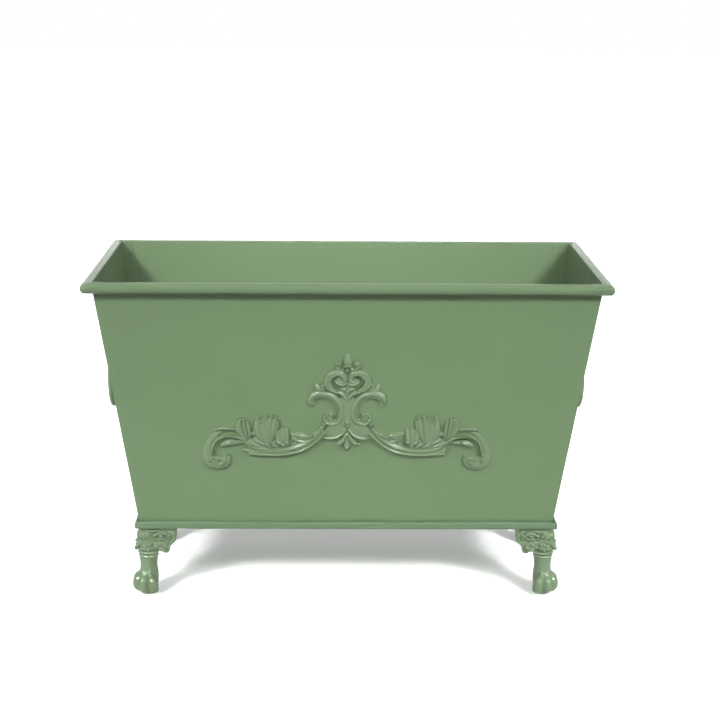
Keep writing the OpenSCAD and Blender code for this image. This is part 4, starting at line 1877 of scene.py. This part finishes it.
    def build(self) -> None:
        """Casts one foot and sets its mirror images under the four corners."""
        half_x, half_y = self.box.band_half
        pattern = self.casting()
        for end, y_sign in (("front", -1), ("back", 1)):
            for hand in Hand:
                bm = pattern.copy()
                for vert in bm.verts:
                    vert.co.x = hand.value * (half_x - vert.co.x)
                    vert.co.y = y_sign * (half_y - vert.co.y)
                side = hand.name.lower()
                self.shop.publish(
                    f"claw_foot_{end}_{side}",
                    bm,
                    self.finish,
                    Slot.CASTING,
                    (f"foot_{end}_{side}",),
                    crease=180,
                )
        pattern.free()


@dataclass
class Fittings:
    """Drop rings with their bosses and rivets, and the foot screws. All keep their solids."""

    shop: Workshop
    casting: bpy.types.Material
    zinc: ZincPlate = ZincPlate()

    def build(self) -> None:
        """Dresses the fittings."""
        rings = ("boss_left", "boss_right", "boss_rivets", "ring_left", "ring_right")
        self.shop.dress(rings, self.casting)
        self.shop.dress(("foot_screws", "foot_washers"), self.zinc.make())


# ---------------------------------------------------------------- studio


@dataclass(frozen=True)
class Softbox:
    """A soft lamp: place, aim and size in metres, power in watts, and its beam in degrees.

    A glint lamp is small and only shows as points of light in glossy paint.
    """

    name: str
    place: tuple[float, float, float]
    aim: tuple[float, float, float]
    size: tuple[float, float]
    power: float
    beam: float = 180.0
    glint: bool = False


@dataclass
class Studio:
    """Pale floor, even white surroundings, soft lamps and the camera."""

    # Camera solved from the photograph: place, turns in radians, and lens in millimetres
    camera_mm: tuple[float, float, float] = (-18.99, -2014.15, 761.72)
    yaw: float = 0.0177
    pitch: float = 0.23915
    roll: float = 0.00772
    lens: float = 83.526
    sensor: float = 36.0
    clip: tuple[float, float] = (0.05, 60.0)
    # Light from all round on the object, where 1 is white
    surround: float = 0.27
    floor_radius: float = 12.0
    floor_seen: str = "#F7F7F7"
    floor_bounce: str = "#D6D6D6"
    # The floor's own glow to the camera: its least, under the box, and the two distances from the
    # box's middle between which it grows to pure white
    floor_lift: float = 0.26
    shadow_reach: tuple[float, float] = (0.3, 0.5)
    lamps: tuple[Softbox, ...] = (
        Softbox("left_softbox", (-1.62, -1.92, 1.98), (-0.33, 0.0, 0.48), (0.8, 1.4), 4.45, 16.0),
        Softbox("right_softbox", (1.62, -1.92, 1.98), (0.33, 0.0, 0.48), (0.8, 1.4), 4.45, 16.0),
        Softbox("rear_softbox", (0.0, 2.9, 0.7), (0.0, -0.05, 0.0), (1.2, 0.4), 0.5, 70.0),
        Softbox("left_glint", (-1.15, -1.95, 2.05), (0.0, 0.0, 0.2), (0.12, 0.12), 18.0, glint=True),
        Softbox("right_glint", (1.15, -1.95, 2.05), (0.0, 0.0, 0.2), (0.12, 0.12), 18.0, glint=True),
    )

    def camera(self) -> None:
        """Sets the camera where the photograph was taken."""
        ahead = Vector(
            (
                math.sin(self.yaw) * math.cos(self.pitch),
                math.cos(self.yaw) * math.cos(self.pitch),
                -math.sin(self.pitch),
            )
        )
        level = Vector((math.cos(self.yaw), -math.sin(self.yaw), 0))
        upright = level.cross(ahead)
        right = level * math.cos(self.roll) + upright * math.sin(self.roll)
        up = upright * math.cos(self.roll) - level * math.sin(self.roll)
        data = bpy.data.cameras.new("camera")
        data.lens = self.lens
        data.sensor_width = self.sensor
        data.clip_start, data.clip_end = self.clip
        camera = bpy.data.objects.new("camera", data)
        bpy.context.scene.collection.objects.link(camera)
        turn = Matrix((right, up, -ahead)).transposed()
        camera.matrix_world = Matrix.Translation(Vector(self.camera_mm) * MM) @ turn.to_4x4()
        bpy.context.scene.camera = camera

    def light(self) -> None:
        """Hangs the lamps."""
        for lamp in self.lamps:
            data = bpy.data.lights.new(lamp.name, "AREA")
            data.shape = "RECTANGLE"
            data.size, data.size_y = lamp.size
            data.energy = lamp.power
            data.spread = math.radians(lamp.beam)
            holder = bpy.data.objects.new(lamp.name, data)
            bpy.context.scene.collection.objects.link(holder)
            aim = Vector(lamp.aim) - Vector(lamp.place)
            holder.matrix_world = (
                Matrix.Translation(lamp.place) @ aim.to_track_quat("-Z", "Y").to_matrix().to_4x4()
            )
            holder.visible_camera = False
            holder.visible_diffuse = not lamp.glint

    def surroundings(self) -> None:
        """White to the camera and in reflections, and a plain level of light on the object."""
        world = bpy.data.worlds.new("white_studio")
        world.use_nodes = True
        tree = world.node_tree
        tree.nodes.clear()
        seen = self.seen(tree)
        strength = add_node(
            tree,
            "ShaderNodeMapRange",
            {"Value": seen, "To Min": self.surround, "To Max": 1.0},
        )
        background = add_node(
            tree,
            "ShaderNodeBackground",
            {"Color": (1, 1, 1, 1), "Strength": strength.outputs["Result"]},
        )
        add_node(tree, "ShaderNodeOutputWorld", {"Surface": background.outputs["Background"]})
        bpy.context.scene.world = world

    def seen(self, tree: bpy.types.NodeTree) -> bpy.types.NodeSocket:
        """Tells what the camera sees from what lights the object.

        Args:
            tree: The tree that gets the nodes.

        Returns:
            A socket that is 1 for rays from the camera and in reflections and glass, else 0.
        """
        path = add_node(tree, "ShaderNodeLightPath")
        total = path.outputs["Is Camera Ray"]
        for ray in ("Is Glossy Ray", "Is Transmission Ray"):
            total = add_node(
                tree, "ShaderNodeMath", {0: total, 1: path.outputs[ray]}, operation="MAXIMUM"
            ).outputs["Value"]
        return total

    def floor(self) -> None:
        """A wide pale floor that shows white but keeps the box's shadow."""
        bm = bmesh.new()
        bmesh.ops.create_circle(bm, cap_ends=True, segments=96, radius=self.floor_radius)
        mesh = bpy.data.meshes.new("floor")
        bm.to_mesh(mesh)
        bm.free()
        floor = bpy.data.objects.new("floor", mesh)
        bpy.context.scene.collection.objects.link(floor)
        material = empty_material("studio_paper")
        tree = material.node_tree
        tone = add_node(
            tree,
            "ShaderNodeMix",
            {"Factor": self.seen(tree), "A": linear(self.floor_bounce), "B": linear(self.floor_seen)},
            data_type="RGBA",
        )
        paper = add_node(tree, "ShaderNodeBsdfDiffuse", {"Color": tone.outputs["Result"]})
        place = add_node(tree, "ShaderNodeTexCoord").outputs["Object"]
        away = add_node(tree, "ShaderNodeVectorMath", {0: place}, operation="LENGTH")
        near, far = self.shadow_reach
        whiter = add_node(
            tree,
            "ShaderNodeMapRange",
            {
                "Value": away.outputs["Value"],
                "From Min": near,
                "From Max": far,
                "To Min": self.floor_lift,
                "To Max": 1.0,
            },
        )
        lift = add_node(
            tree,
            "ShaderNodeMath",
            {0: self.seen(tree), 1: whiter.outputs["Result"]},
            operation="MULTIPLY",
        )
        glow = add_node(tree, "ShaderNodeEmission", {"Strength": lift.outputs["Value"]})
        both = add_node(
            tree, "ShaderNodeAddShader", {0: paper.outputs["BSDF"], 1: glow.outputs["Emission"]}
        )
        add_node(tree, "ShaderNodeOutputMaterial", {"Surface": both.outputs["Shader"]})
        mesh.materials.append(material)

    def build(self) -> None:
        """Sets up the studio."""
        bpy.context.scene.view_settings.view_transform = "Standard"
        self.camera()
        self.light()
        self.surroundings()
        self.floor()
        log.info("studio: camera, %d lamps and floor", len(self.lamps))


def main() -> None:
    """Builds the studio and dresses the planter, sub-assembly by sub-assembly."""
    logging.basicConfig(level=logging.INFO, format="%(message)s")
    Studio().build()
    box, shop = BoxShape.from_frame(), Workshop()
    casting = CastEnamel("flooded_enamel_on_castings").make()
    SheetBox(shop, box).build()
    Rim(shop, box).build()
    BaseBand(shop, box).build()
    Scrollwork(shop, box, casting).build()
    ClawFeet(shop, box, casting).build()
    Fittings(shop, casting).build()


if __name__ == "__main__":
    main()
